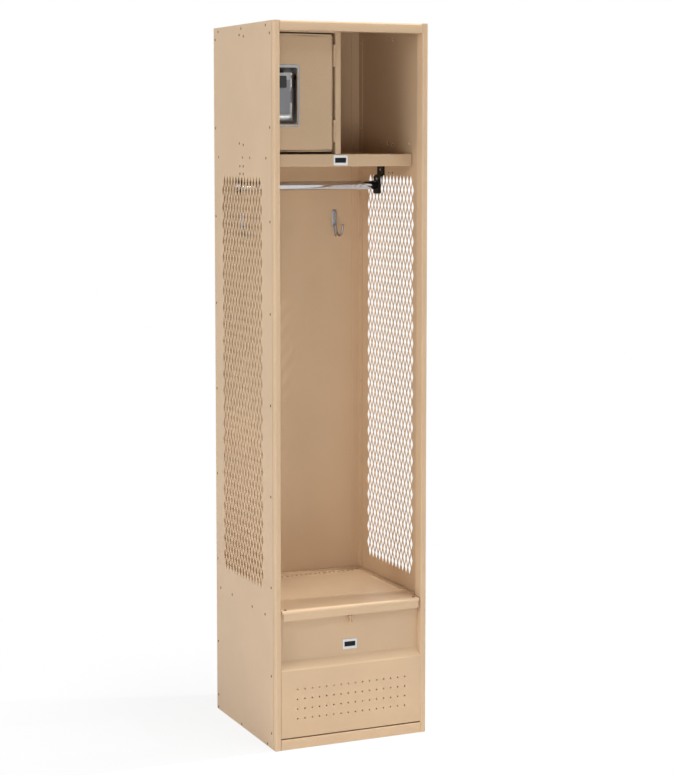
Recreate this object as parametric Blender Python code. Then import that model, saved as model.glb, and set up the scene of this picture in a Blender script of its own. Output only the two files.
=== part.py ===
"""Doorless wardrobe locker: folded sheet carcass with diamond-mesh sides, a small
locking box and an open cubby over a hat shelf, a coat rod with two wall hooks, and a
vented foot locker under a seat that lifts on a continuous hinge.

Metres, +Z up, front towards -Y. Origin: floor level, centre of the footprint.
"""

import math

import bmesh
import bpy
from mathutils import Vector

# Overall size and sheet metal
WIDTH = 0.4572
DEPTH = 0.4572
HEIGHT = 1.9812
SHEET = 0.0015
FIT = 0.0003
BEND = 0.0025
CUT_OVER = 0.004

# Front frame
STILE_FACE = 0.0175
RETURN_DEPTH = 0.036
TOP_RAIL_FACE = 0.026
BOTTOM_RAIL_FACE = 0.029
BOTTOM_RAIL_LIP = 0.010
CORNER_RADIUS = 0.006
LAP_SETBACK = 0.016
LAP_LENGTH = 0.028
JOGGLE = 0.002
RAIL_LAP = 0.004

# Carcass
UPRIGHT_LEG = 0.025
TOP_FLANGE = 0.022
BASE_TOP = 0.014
FLANGE_RELIEF = 0.003

# Diamond mesh in the side panels
MESH_FRONT = 0.087
MESH_BACK = 0.0617
MESH_ABOVE_SEAT = 0.043
MESH_BELOW_SHELF = 0.036
MESH_COLUMNS = 7
MESH_ROWS = 24
DIAMOND_SHARE = 0.80

# Shelf, divider and box
UPPER_SETBACK = 0.095
SHELF_BELOW_TOP = 0.3552
SHELF_FACE = 0.034
SHELF_LIP = 0.012
SHELF_FLANGE = 0.020
POST_WIDTH = 0.017
POST_DEPTH = 0.025
HEADER_FACE = 0.024
HEADER_LIP = 0.014
JAMB_FACE = 0.0095
JAMB_STOP = 0.0205

# Box door
DOOR_GAP_BOTTOM = 0.008
DOOR_GAP_TOP = 0.0064
DOOR_GAP_LATCH = 0.0021
DOOR_GAP_HINGE = 0.0068
DOOR_DEPTH = 0.016

# Knuckle hinges of the box door
PIN_FORWARD = 0.002
PIN_OFF_POST = 0.0038
KNUCKLE_RADIUS = 0.0032
PIN_RADIUS = 0.0014
PIN_CLEARANCE = 0.0002
PIN_HEAD = 0.0008
HINGE_HEIGHT = 0.060
HINGE_LEAF = 0.0012
HINGE_LEAF_WIDTH = 0.014
HINGE_PLAY = 0.0004
HINGE_INSET = 0.055
HINGE_KNUCKLES = 5

# Recessed handle, trigger and latch
CUP_INSET = 0.0242
CUP_WIDTH = 0.076
CUP_HEIGHT = 0.166
CUP_RISE = 0.158
CUP_DEPTH = 0.020
CUP_RIM = 0.009
CUP_RIM_PROUD = 0.0012
CUP_CORNER = 0.010
CUP_SHEET = 0.0010
CUP_SLOPE_TOP = 0.012
CUP_SLOPE_BOTTOM = 0.010
CUP_SLOPE_SIDE = 0.003
CUP_EDGE = 0.0015
TRIGGER_SHEET = 0.0015
TRIGGER_WIDTH = 0.040
TRIGGER_HEIGHT = 0.092
TRIGGER_LIP = 0.009
TRIGGER_ABOVE = 0.018
TRIGGER_SIDE_GAP = 0.003
TRIGGER_LIFT = 0.009
SLOT_WIDTH = 0.004
LINK_LAP = 0.002
LINK_HEIGHT = 0.030
BLOCK_WIDTH = 0.015
BLOCK_HEIGHT = 0.023
BLOCK_THICK = 0.008
BLOCK_DROP = 0.003
BLOCK_CORNER = 0.0015
LATCH_SHEET = 0.002
LATCH_WIDTH = 0.012
LATCH_ARM = 0.012
LATCH_RISE = 0.140
LATCH_SHORT = 0.005
STRIKE_REACH = 0.0185
STRIKE_RISE = 0.150
STRIKE_SHEET = 0.002

# Coat rod, brackets and hooks
ROD_FROM_BACK = 0.1572
ROD_DROP = 0.057
ROD_RADIUS = 0.0127
ROD_WALL = 0.0015
ROD_PAST = 0.004
BRACKET_SHEET = 0.003
BRACKET_DEPTH = 0.044
BRACKET_TAB = 0.028
BRACKET_JOG = 0.012
BRACKET_FALL = 0.004
BRACKET_BOTTOM = 0.025
HOOK_INSET = 0.0826
HOOK_FALL = 0.132
HOOK_PLATE_WIDTH = 0.014
HOOK_PLATE_HEIGHT = 0.052
HOOK_PLATE_THICK = 0.0025
HOOK_PLATE_CORNER = 0.006
HOOK_WIRE = 0.003
HOOK_SPREAD = 0.017
HOOK_REACH = 0.036
HOOK_DROP = 0.028

# Seat and foot locker
SEAT_TOP = 0.387
SEAT_SIDE_GAP = 0.0041
SEAT_FLANGE = 0.028
SEAT_BEND = 0.005
HINGE_FROM_BACK = 0.0472
SEAT_HINGE_GAP = 0.0005
SEAT_LEAF_WIDTH = 0.022
SEAT_LEAF_SIDE = 0.015
SEAT_KNUCKLES = 21
LEDGE_DROP = 0.042
LEDGE_LIP = 0.014
LEDGE_GAP = 0.001
STRIP_FLANGE = 0.025
PANEL_SIDE_GAP = 0.0031
PANEL_SET = 0.001
PANEL_BOTTOM = 0.034
PANEL_BEND_HEIGHT = 0.218
PANEL_SLOPE_TOP = 0.250
PANEL_RECESS = 0.021
PANEL_RETURN = 0.020
PANEL_FOOT = 0.044
PANEL_BEND = 0.006
VENT_RADIUS = 0.003
VENT_PITCH_X = 0.02163
VENT_PITCH_Z = 0.0273
VENT_TOP = 0.166
VENT_COLUMNS = 16
VENT_ROWS = 4
BUMPER_INSET = 0.013
BUMPER_HEAD = 0.004
BUMPER_DOME = 0.0015
BUMPER_STEM = 0.0022
BUMPER_FOOT = 0.0012
EYE_SHEET = 0.0025
EYE_OFFSET = 0.0018
EYE_BOTTOM = 0.336
EYE_TOP = 0.357
EYE_HOLE = 0.0045
EYE_CLEAR = 0.003
TAB_TOP = 0.380

# Number plates
PLATE_WIDTH = 0.043
PLATE_HEIGHT = 0.028
PLATE_THICK = 0.0010
PLATE_CORNER = 0.003
PLATE_BORDER = 0.005
PLATE_SINK = 0.0004
SHELF_PLATE_X = 0.007
BASE_PLATE_X = 0.003
BASE_PLATE_Z = 0.272

# Facet counts
BEND_STEPS = 3
ROUND_STEPS = 24
KNUCKLE_STEPS = 10
VENT_STEPS = 6
BUTTON_STEPS = 8

# Places that follow from the sizes
FRONT = -DEPTH / 2
BACK = DEPTH / 2
HALF = WIDTH / 2
WALL = HALF - SHEET
LINE = WALL - FIT
OPEN_HALF = HALF - STILE_FACE
BACK_INNER = BACK - SHEET
BACK_LINE = BACK_INNER - FIT
LAP_END = FRONT + LAP_SETBACK + LAP_LENGTH
UPPER_FRONT = FRONT + UPPER_SETBACK
CEILING = HEIGHT - SHEET - FIT
SHELF_TOP = HEIGHT - SHELF_BELOW_TOP
SHELF_BOTTOM = SHELF_TOP - SHELF_FACE
DOOR_LEFT = -LINE + JAMB_FACE + DOOR_GAP_LATCH
DOOR_RIGHT = -POST_WIDTH / 2 - DOOR_GAP_HINGE
DOOR_BOTTOM = SHELF_TOP + DOOR_GAP_BOTTOM
DOOR_TOP = CEILING - HEADER_FACE - DOOR_GAP_TOP
DOOR_BACK = UPPER_FRONT + DOOR_DEPTH
DOOR_AXIS = Vector((-POST_WIDTH / 2 - PIN_OFF_POST, UPPER_FRONT - PIN_FORWARD, 0))
CUP_LEFT = DOOR_LEFT + CUP_INSET
CUP_RIGHT = CUP_LEFT + CUP_WIDTH
CUP_CENTRE = SHELF_TOP + CUP_RISE
CUP_FLOOR = UPPER_FRONT + CUP_DEPTH
FLOOR_TOP = CUP_CENTRE + CUP_HEIGHT / 2 - CUP_RIM - CUP_SLOPE_TOP
FLOOR_BOTTOM = CUP_CENTRE - CUP_HEIGHT / 2 + CUP_RIM + CUP_SLOPE_BOTTOM
FLOOR_LEFT = CUP_LEFT + CUP_RIM + CUP_SLOPE_SIDE
FLOOR_RIGHT = CUP_RIGHT - CUP_RIM - CUP_SLOPE_SIDE
TRIGGER_LEFT = FLOOR_LEFT + TRIGGER_SIDE_GAP
TRIGGER_RIGHT = TRIGGER_LEFT + TRIGGER_WIDTH
TRIGGER_TOP = FLOOR_TOP - TRIGGER_ABOVE
TRIGGER_BOTTOM = TRIGGER_TOP - TRIGGER_HEIGHT
TRIGGER_BACK = CUP_FLOOR - FIT
LATCH_FRONT = CUP_FLOOR + CUP_SHEET + FIT
SEAT_HALF = OPEN_HALF - SEAT_SIDE_GAP
SEAT_UNDER = SEAT_TOP - SHEET - FIT
SEAT_AXIS = Vector((0, BACK - HINGE_FROM_BACK, SEAT_TOP - KNUCKLE_RADIUS))
SEAT_BACK = SEAT_AXIS.y - KNUCKLE_RADIUS - SEAT_HINGE_GAP
STRIP_FRONT = SEAT_AXIS.y + KNUCKLE_RADIUS + SEAT_HINGE_GAP
PANEL_HALF = OPEN_HALF - PANEL_SIDE_GAP
PANEL_FACE = FRONT + PANEL_SET + PANEL_RECESS
ROD_Y = BACK - ROD_FROM_BACK
ROD_HEIGHT = SHELF_BOTTOM - ROD_DROP
ROD_SEAT = LINE - BRACKET_JOG
HOOK_OFF_CENTRE = HALF - HOOK_INSET
HOOK_TOP = SHELF_BOTTOM - HOOK_FALL
MESH_BOTTOM = SEAT_TOP + MESH_ABOVE_SEAT
MESH_RISE = SHELF_BOTTOM - MESH_BELOW_SHELF - MESH_BOTTOM
MESH_LENGTH = DEPTH - MESH_FRONT - MESH_BACK

# Colour, roughness and metallic value of each finish
FINISHES = {
    "powder_coat": ((0.57, 0.42, 0.27), 0.45, 0.0),
    "stainless": ((0.56, 0.56, 0.57), 0.30, 1.0),
    "chrome": ((0.75, 0.75, 0.77), 0.12, 1.0),
    "zinc": ((0.60, 0.60, 0.62), 0.35, 1.0),
    "black_steel": ((0.015, 0.015, 0.016), 0.45, 0.0),
    "black_nylon": ((0.012, 0.012, 0.012), 0.50, 0.0),
    "rubber": ((0.02, 0.02, 0.02), 0.80, 0.0),
    "plate": ((0.72, 0.72, 0.73), 0.30, 1.0),
}


def clear_objects():
    for item in list(bpy.data.objects):
        bpy.data.objects.remove(item, do_unlink=True)


def finish_material(name, finish):
    colour, rough, metal = FINISHES[finish]
    material = bpy.data.materials.new(f"{finish}_{name}")
    material.use_nodes = True
    shader = material.node_tree.nodes["Principled BSDF"]
    shader.inputs["Base Color"].default_value = (*colour, 1.0)
    shader.inputs["Roughness"].default_value = rough
    shader.inputs["Metallic"].default_value = metal
    return material


def object_from(bm, name, finish=None):
    bmesh.ops.recalc_face_normals(bm, faces=bm.faces[:])
    mesh = bpy.data.meshes.new(name)
    bm.to_mesh(mesh)
    bm.free()
    item = bpy.data.objects.new(name, mesh)
    bpy.context.scene.collection.objects.link(item)
    if finish:
        mesh.materials.append(finish_material(name, finish))
    else:
        item.hide_render = True
        item.display_type = "WIRE"
    return item


def place(axis, u, v, w):
    """A point from its two plane coordinates and its place along the axis."""
    if axis == "x":
        return Vector((w, u, v))
    if axis == "y":
        return Vector((u, w, v))
    return Vector((u, v, w))


def add_prism(bm, points, axis, start, end):
    low = [bm.verts.new(place(axis, u, v, start)) for u, v in points]
    high = [bm.verts.new(place(axis, u, v, end)) for u, v in points]
    bm.faces.new(low)
    bm.faces.new(high)
    count = len(points)
    for i in range(count):
        j = (i + 1) % count
        bm.faces.new((low[i], low[j], high[j], high[i]))


def prism(name, points, axis, start, end, finish=None):
    bm = bmesh.new()
    add_prism(bm, points, axis, start, end)
    return object_from(bm, name, finish)


def block(name, low, high, finish=None):
    outline = [
        (low[0], low[1]),
        (high[0], low[1]),
        (high[0], high[1]),
        (low[0], high[1]),
    ]
    return prism(name, outline, "z", low[2], high[2], finish)


def oblong(u0, u1, v0, v1):
    return [(u0, v0), (u1, v0), (u1, v1), (u0, v1)]


def circle(u, v, radius, steps):
    turn = 2 * math.pi / steps
    start = turn / 2
    return [
        (u + radius * math.cos(start + i * turn), v + radius * math.sin(start + i * turn))
        for i in range(steps)
    ]


def rounded_rectangle(u0, v0, u1, v1, radius, steps=BEND_STEPS):
    corners = [
        (u1 - radius, v1 - radius, 0),
        (u0 + radius, v1 - radius, 1),
        (u0 + radius, v0 + radius, 2),
        (u1 - radius, v0 + radius, 3),
    ]
    points = []
    for cu, cv, quarter in corners:
        for i in range(steps + 1):
            angle = (quarter + i / steps) * math.pi / 2
            points.append((cu + radius * math.cos(angle), cv + radius * math.sin(angle)))
    return points


def rounded_path(points, radii, steps=BEND_STEPS):
    """The polyline with each inner corner replaced by an arc of its radius."""
    path = [Vector(points[0])]
    for i in range(1, len(points) - 1):
        corner = Vector(points[i])
        radius = radii[i - 1]
        before = (Vector(points[i - 1]) - corner).normalized()
        after = (Vector(points[i + 1]) - corner).normalized()
        angle = before.angle(after)
        if not radius or abs(angle - math.pi) < math.radians(1):
            path.append(corner)
            continue
        run = radius / math.tan(angle / 2)
        centre = corner + (before + after).normalized() * radius / math.sin(angle / 2)
        first = corner + before * run - centre
        last = corner + after * run - centre
        sweep = first.angle_signed(last)
        for k in range(steps + 1):
            turn = -sweep * k / steps
            spun = Vector(
                (
                    first.x * math.cos(turn) - first.y * math.sin(turn),
                    first.x * math.sin(turn) + first.y * math.cos(turn),
                )
            )
            path.append(centre + spun)
    path.append(Vector(points[-1]))
    return path


def folded(points, radii, thickness, side):
    """Closed outline of a bent sheet: a path of its outer face and the other face,
    which lies to the left of the path for side 1 and to the right for side -1."""
    path = rounded_path(points, radii)
    other = []
    for i, spot in enumerate(path):
        normals = []
        if i > 0:
            run = (spot - path[i - 1]).normalized()
            normals.append(Vector((-run.y, run.x)))
        if i < len(path) - 1:
            run = (path[i + 1] - spot).normalized()
            normals.append(Vector((-run.y, run.x)))
        mitre = normals[0]
        if len(normals) == 2:
            mitre = (normals[0] + normals[1]) / (1 + normals[0].dot(normals[1]))
        other.append(spot + mitre * thickness * side)
    return [tuple(p) for p in path] + [tuple(p) for p in reversed(other)]


def mirrored(points):
    return [(-u, v) for u, v in points]


def boolean(item, tool, operation="DIFFERENCE"):
    modifier = item.modifiers.new(f"{operation.lower()} {tool.name}", "BOOLEAN")
    modifier.operation = operation
    modifier.object = tool
    modifier.solver = "EXACT"
    tool.hide_render = True
    tool.display_type = "WIRE"
    return item


def perforated_sheet(name, outline, holes, axis, start, end, finish):
    """A flat sheet cut through by a pattern of holes."""
    bm = bmesh.new()
    edges = []
    for loop in [outline, *holes]:
        ring = [bm.verts.new(place(axis, u, v, start)) for u, v in loop]
        for i, spot in enumerate(ring):
            edges.append(bm.edges.new((spot, ring[(i + 1) % len(ring)])))
    bmesh.ops.triangle_fill(bm, use_beauty=True, use_dissolve=False, edges=edges)
    grown = bmesh.ops.extrude_face_region(bm, geom=bm.faces[:])
    moved = [g for g in grown["geom"] if isinstance(g, bmesh.types.BMVert)]
    shift = place(axis, 0, 0, end - start)
    bmesh.ops.translate(bm, verts=moved, vec=shift)
    return object_from(bm, name, finish)


def thicken(item, thickness):
    """Give a skin its sheet thickness, behind its outer faces."""
    solid = item.modifiers.new("sheet", "SOLIDIFY")
    solid.solidify_mode = "NON_MANIFOLD"
    solid.nonmanifold_thickness_mode = "EVEN"
    solid.nonmanifold_boundary_mode = "NONE"
    solid.thickness = thickness
    solid.offset = -1


def tray(name, low, high, level, flanges, finish):
    """A folded pan: a flat skin whose upper face is at level, with flanges turned
    down by the given depths along the edges named in flanges."""
    (x0, y0), (x1, y1) = low, high
    skin = block(name, (x0, y0, level - SHEET), (x1, y1, level), finish)
    near_x, far_x = x0 + FLANGE_RELIEF, x1 - FLANGE_RELIEF
    near_y, far_y = y0 + FLANGE_RELIEF, y1 - FLANGE_RELIEF
    edges = {
        "front": oblong(near_x, far_x, y0, y0 + SHEET),
        "right": oblong(x1 - SHEET, x1, near_y, far_y),
        "back": oblong(near_x, far_x, y1 - SHEET, y1),
        "left": oblong(x0, x0 + SHEET, near_y, far_y),
    }
    bm = bmesh.new()
    for side, depth in flanges.items():
        add_prism(bm, edges[side], "z", level - depth, level - SHEET / 2)
    return boolean(skin, object_from(bm, f"{name}_flange_tool"), "UNION")


def lofted_shell(name, loops, thickness, finish):
    """A drawn sheet: loops of points joined in turn, the last one filled."""
    bm = bmesh.new()
    rings = [[bm.verts.new(Vector(p)) for p in loop] for loop in loops]
    count = len(rings[0])
    for near, far in zip(rings, rings[1:]):
        for i in range(count):
            j = (i + 1) % count
            bm.faces.new((near[i], near[j], far[j], far[i]))
    bm.faces.new(rings[-1])
    item = object_from(bm, name, finish)
    if item.data.polygons[-1].normal.y > 0:
        item.data.flip_normals()
    thicken(item, thickness)
    return item


def tube(name, points, radius, steps, finish=None):
    """A round bar along a path of points, with flat ends."""
    bm = bmesh.new()
    rings = []
    side = None
    for i, spot in enumerate(points):
        ahead = points[min(i + 1, len(points) - 1)] - points[max(i - 1, 0)]
        ahead.normalize()
        if side is None:
            side = ahead.orthogonal().normalized()
        side = (side - ahead * side.dot(ahead)).normalized()
        other = ahead.cross(side)
        ring = []
        for k in range(steps):
            turn = 2 * math.pi * k / steps
            ring.append(
                bm.verts.new(spot + (side * math.cos(turn) + other * math.sin(turn)) * radius)
            )
        rings.append(ring)
    for near, far in zip(rings, rings[1:]):
        for k in range(steps):
            j = (k + 1) % steps
            bm.faces.new((near[k], near[j], far[j], far[k]))
    bm.faces.new(rings[0])
    bm.faces.new(rings[-1])
    item = object_from(bm, name, finish)
    smooth(item)
    return item


def smooth(item):
    item.data.shade_smooth()
    item.data.set_sharp_from_angle(angle=math.radians(35))


def pivot(name, spot, parent=None):
    empty = bpy.data.objects.new(name, None)
    bpy.context.scene.collection.objects.link(empty)
    empty.location = spot - parent.location if parent else spot
    empty.parent = parent
    return empty


def carry(pivot_empty, spot, items):
    """Hang pieces on a pivot: their own origins move to its place."""
    for item in items:
        tools = [m.object for m in item.modifiers if m.type == "BOOLEAN"]
        for piece in [item, *tools]:
            if piece.parent is None:
                for vertex in piece.data.vertices:
                    vertex.co -= spot
                piece.parent = pivot_empty


# Front frame

def stile_outline():
    points = [
        (OPEN_HALF, FRONT + RETURN_DEPTH),
        (OPEN_HALF, FRONT),
        (HALF, FRONT),
        (HALF, FRONT + LAP_SETBACK - JOGGLE),
        (LINE, FRONT + LAP_SETBACK),
        (LINE, LAP_END),
    ]
    return folded(points, [BEND, CORNER_RADIUS, 0, 0], SHEET, 1)


def make_stiles():
    """Full height in front; behind the face the upper end stays below the top."""
    outline = stile_outline()
    bm = bmesh.new()
    seam = FRONT + LAP_SETBACK - JOGGLE
    behind = rounded_rectangle(-LINE, FRONT + SHEET, LINE, LAP_END, CORNER_RADIUS)
    add_prism(bm, behind, "z", CEILING, HEIGHT + CUT_OVER)
    across = [(-HALF, seam), (HALF, seam), (HALF, LAP_END + FIT), (-HALF, LAP_END + FIT)]
    lap = bmesh.new()
    add_prism(lap, across, "z", CEILING, HEIGHT + CUT_OVER)
    inner = object_from(bm, "stile_top_cutter")
    outer = object_from(lap, "stile_lap_cutter")
    for word, shape in (("right", outline), ("left", mirrored(outline))):
        stile = prism(f"stile_{word}", shape, "z", 0, HEIGHT, "powder_coat")
        boolean(stile, inner)
        boolean(stile, outer)


def make_rails():
    reach = OPEN_HALF - FIT
    top = [
        (FRONT + RETURN_DEPTH, HEIGHT - TOP_RAIL_FACE),
        (FRONT, HEIGHT - TOP_RAIL_FACE),
        (FRONT, HEIGHT),
        (FRONT + LAP_SETBACK - JOGGLE, HEIGHT),
        (FRONT + LAP_SETBACK, CEILING),
        (LAP_END, CEILING),
    ]
    outline = folded(top, [BEND, CORNER_RADIUS, 0, 0], SHEET, -1)
    rail = prism("top_rail", outline, "x", -reach, reach, "powder_coat")
    near = FRONT + SHEET + FIT
    far = FRONT + LAP_SETBACK - JOGGLE - FIT
    ear = [
        (reach - RAIL_LAP, near),
        (LINE - CORNER_RADIUS, near),
        (LINE, near + CORNER_RADIUS),
        (LINE, far),
        (reach - RAIL_LAP, far),
    ]
    bm = bmesh.new()
    add_prism(bm, ear, "z", HEIGHT - SHEET, HEIGHT)
    add_prism(bm, mirrored(ear), "z", HEIGHT - SHEET, HEIGHT)
    boolean(rail, object_from(bm, "rail_ear_tool"), "UNION")
    bottom = [
        (FRONT + RETURN_DEPTH, 0),
        (FRONT, 0),
        (FRONT, BOTTOM_RAIL_FACE),
        (FRONT + BOTTOM_RAIL_LIP, BOTTOM_RAIL_FACE),
    ]
    outline = folded(bottom, [BEND, BEND], SHEET, -1)
    prism("bottom_rail", outline, "x", -reach, reach, "powder_coat")


# Side panels with their diamond mesh

def diamonds():
    """Outlines of the diamond cut-outs: every other row is moved half a pitch."""
    pitch = MESH_LENGTH / (MESH_COLUMNS - 1 + DIAMOND_SHARE)
    row = MESH_RISE / (MESH_ROWS - 1 + 2 * DIAMOND_SHARE)
    wide = pitch * DIAMOND_SHARE / 2
    tall = row * DIAMOND_SHARE
    found = []
    for r in range(MESH_ROWS):
        shifted = (MESH_ROWS - 1 - r) % 2 == 0
        columns = MESH_COLUMNS - 1 if shifted else MESH_COLUMNS
        start = wide + (pitch / 2 if shifted else 0)
        v = MESH_BOTTOM + tall + (MESH_ROWS - 1 - r) * row
        for c in range(columns):
            u = FRONT + MESH_FRONT + start + c * pitch
            found.append([(u - wide, v), (u, v - tall), (u + wide, v), (u, v + tall)])
    return found


def make_side_panels():
    front = FRONT + LAP_SETBACK + FIT
    outline = [(front, 0), (BACK, 0), (BACK, HEIGHT), (front, HEIGHT)]
    holes = diamonds()
    perforated_sheet("side_panel_right", outline, holes, "x", WALL, HALF, "powder_coat")
    perforated_sheet("side_panel_left", outline, holes, "x", -HALF, -WALL, "powder_coat")


# Carcass: back, uprights, top and base

def upright_outline(grow):
    points = [
        (LINE + grow, BACK_LINE - UPRIGHT_LEG - grow),
        (LINE + grow, BACK_LINE + grow),
        (LINE - UPRIGHT_LEG - grow, BACK_LINE + grow),
    ]
    return folded(points, [0], SHEET + grow + grow, 1)


def make_carcass():
    block("back_panel", (-LINE, BACK_INNER, 0), (LINE, BACK, HEIGHT), "powder_coat")
    low = BASE_TOP + FIT
    outline = upright_outline(0)
    prism("rear_upright_right", outline, "z", low, CEILING, "powder_coat")
    prism("rear_upright_left", mirrored(outline), "z", low, CEILING, "powder_coat")
    make_top_panel()
    make_base_pan()


def lap_cutter(name, low, high):
    """Clearance round the stiles' lapped legs, on both sides."""
    bm = bmesh.new()
    inner = LINE - SHEET - FIT
    for side in (-1, 1):
        outline = [
            (side * inner, FRONT),
            (side * (LINE + CUT_OVER), FRONT),
            (side * (LINE + CUT_OVER), LAP_END + FIT),
            (side * inner, LAP_END + FIT),
        ]
        add_prism(bm, outline, "z", low, high)
    return object_from(bm, name)


def make_top_panel():
    front = FRONT + LAP_SETBACK + FIT
    pan = tray(
        "top_panel",
        (-LINE, front),
        (LINE, BACK_LINE),
        HEIGHT,
        {"left": TOP_FLANGE, "right": TOP_FLANGE},
        "powder_coat",
    )
    low = HEIGHT - TOP_FLANGE - CUT_OVER
    high = CEILING + FIT / 2
    boolean(pan, lap_cutter("top_lap_cutter", low, high))
    boolean(pan, upright_cutter("top_upright_cutter", low, high))


def upright_cutter(name, low, high):
    """Clearance round the rear uprights, on both sides."""
    bm = bmesh.new()
    outline = upright_outline(FIT)
    add_prism(bm, outline, "z", low, high)
    add_prism(bm, mirrored(outline), "z", low, high)
    return object_from(bm, name)


def make_base_pan():
    front = FRONT + RETURN_DEPTH + FIT
    pan = tray(
        "base_pan",
        (-LINE, front),
        (LINE, BACK_LINE),
        BASE_TOP,
        {side: BASE_TOP for side in ("front", "right", "back", "left")},
        "powder_coat",
    )
    boolean(pan, lap_cutter("base_lap_cutter", -CUT_OVER, BASE_TOP + CUT_OVER))


# Hat shelf, divider and the frame of the box

def make_shelf():
    pan = tray(
        "hat_shelf",
        (-LINE, UPPER_FRONT),
        (LINE, BACK_LINE),
        SHELF_TOP,
        {
            "front": SHELF_FACE,
            "right": SHELF_FLANGE,
            "back": SHELF_FLANGE,
            "left": SHELF_FLANGE,
        },
        "powder_coat",
    )
    boolean(pan, upright_cutter("shelf_upright_cutter", SHELF_BOTTOM, SHELF_TOP + CUT_OVER))
    reach = LINE - FLANGE_RELIEF
    lip = block(
        "shelf_lip_tool",
        (-reach, UPPER_FRONT, SHELF_BOTTOM),
        (reach, UPPER_FRONT + SHELF_LIP, SHELF_BOTTOM + SHEET),
    )
    boolean(pan, lip, "UNION")


def make_box_frame():
    left = -POST_WIDTH / 2
    rear = UPPER_FRONT + POST_DEPTH
    path = [(left, rear), (left, UPPER_FRONT), (-left, UPPER_FRONT), (-left, rear)]
    outline = folded(path, [BEND, BEND], SHEET, 1)
    base = SHELF_TOP + FIT
    prism("hinge_post", outline, "z", base, CEILING, "powder_coat")
    block(
        "divider_panel",
        (-SHEET / 2, UPPER_FRONT + SHEET + FIT, base),
        (SHEET / 2, BACK_LINE, CEILING),
        "powder_coat",
    )
    low = CEILING - HEADER_FACE
    path = [
        (UPPER_FRONT + HEADER_LIP, low),
        (UPPER_FRONT, low),
        (UPPER_FRONT, CEILING - BEND),
    ]
    outline = folded(path, [BEND], SHEET, -1)
    prism("box_header", outline, "x", -LINE + JAMB_FACE + FIT, left - FIT, "powder_coat")
    path = [
        (-LINE, DOOR_BACK + FIT + JAMB_STOP),
        (-LINE, UPPER_FRONT),
        (-LINE + JAMB_FACE, UPPER_FRONT),
        (-LINE + JAMB_FACE, DOOR_BACK + FIT),
        (-LINE + JAMB_FACE + JAMB_STOP, DOOR_BACK + FIT),
    ]
    outline = folded(path, [BEND, BEND, BEND], SHEET, 1)
    jamb = prism("latch_jamb", outline, "z", base, CEILING, "powder_coat")
    relief = block(
        "jamb_relief_cutter",
        (-HALF, UPPER_FRONT - CUT_OVER, HEIGHT - TOP_FLANGE - FIT),
        (-LINE + SHEET + FIT, DOOR_BACK + DOOR_DEPTH + JAMB_STOP, HEIGHT),
    )
    boolean(jamb, relief)


# Box door with its knuckle hinges

def make_box_door():
    pan = tray(
        "box_door",
        (DOOR_LEFT, DOOR_BOTTOM),
        (DOOR_RIGHT, DOOR_TOP),
        -UPPER_FRONT,
        {side: DOOR_DEPTH for side in ("front", "right", "back", "left")},
        "powder_coat",
    )
    for piece in (pan, pan.modifiers[0].object):
        for vertex in piece.data.vertices:
            x, z, depth = vertex.co
            vertex.co = (x, -depth, z)
    margin = CUP_RIM - CUP_EDGE
    opening = prism(
        "cup_opening_cutter",
        rounded_rectangle(
            CUP_LEFT + margin,
            CUP_CENTRE - CUP_HEIGHT / 2 + margin,
            CUP_RIGHT - margin,
            CUP_CENTRE + CUP_HEIGHT / 2 - margin,
            CUP_CORNER - margin / 2,
        ),
        "y",
        UPPER_FRONT - CUT_OVER,
        UPPER_FRONT + SHEET + CUT_OVER,
    )
    boolean(pan, opening)
    return pan


def knuckle_spans(length, count, odd):
    """Ends of every other knuckle along a barrel, with play between neighbours."""
    step = length / count
    picked = range(1, count, 2) if odd else range(0, count, 2)
    play = HINGE_PLAY / 2
    return [(k * step + play, (k + 1) * step - play) for k in picked]


def hinge_leaf(name, axis, spans, ends, plate, web, spot, finish):
    """Leaf of a hinge: a plate whose edge carries bored knuckles round the pin.
    plate and web are outlines in the plane across the barrel."""
    leaf = prism(name, plate, axis, *ends, finish)
    bm = bmesh.new()
    for start, end in spans:
        add_prism(bm, web, axis, start, end)
    fingers = object_from(bm, f"{name}_web_tool")
    bm = bmesh.new()
    for start, end in spans:
        add_prism(bm, circle(*spot, KNUCKLE_RADIUS, KNUCKLE_STEPS), axis, start, end)
    rolls = object_from(bm, f"{name}_knuckle_tool")
    bore = prism(
        f"{name}_bore_tool",
        circle(*spot, PIN_RADIUS + PIN_CLEARANCE, KNUCKLE_STEPS),
        axis,
        ends[0] - CUT_OVER,
        ends[1] + CUT_OVER,
    )
    boolean(leaf, fingers, "UNION")
    boolean(leaf, rolls, "UNION")
    return boolean(leaf, bore)


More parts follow.
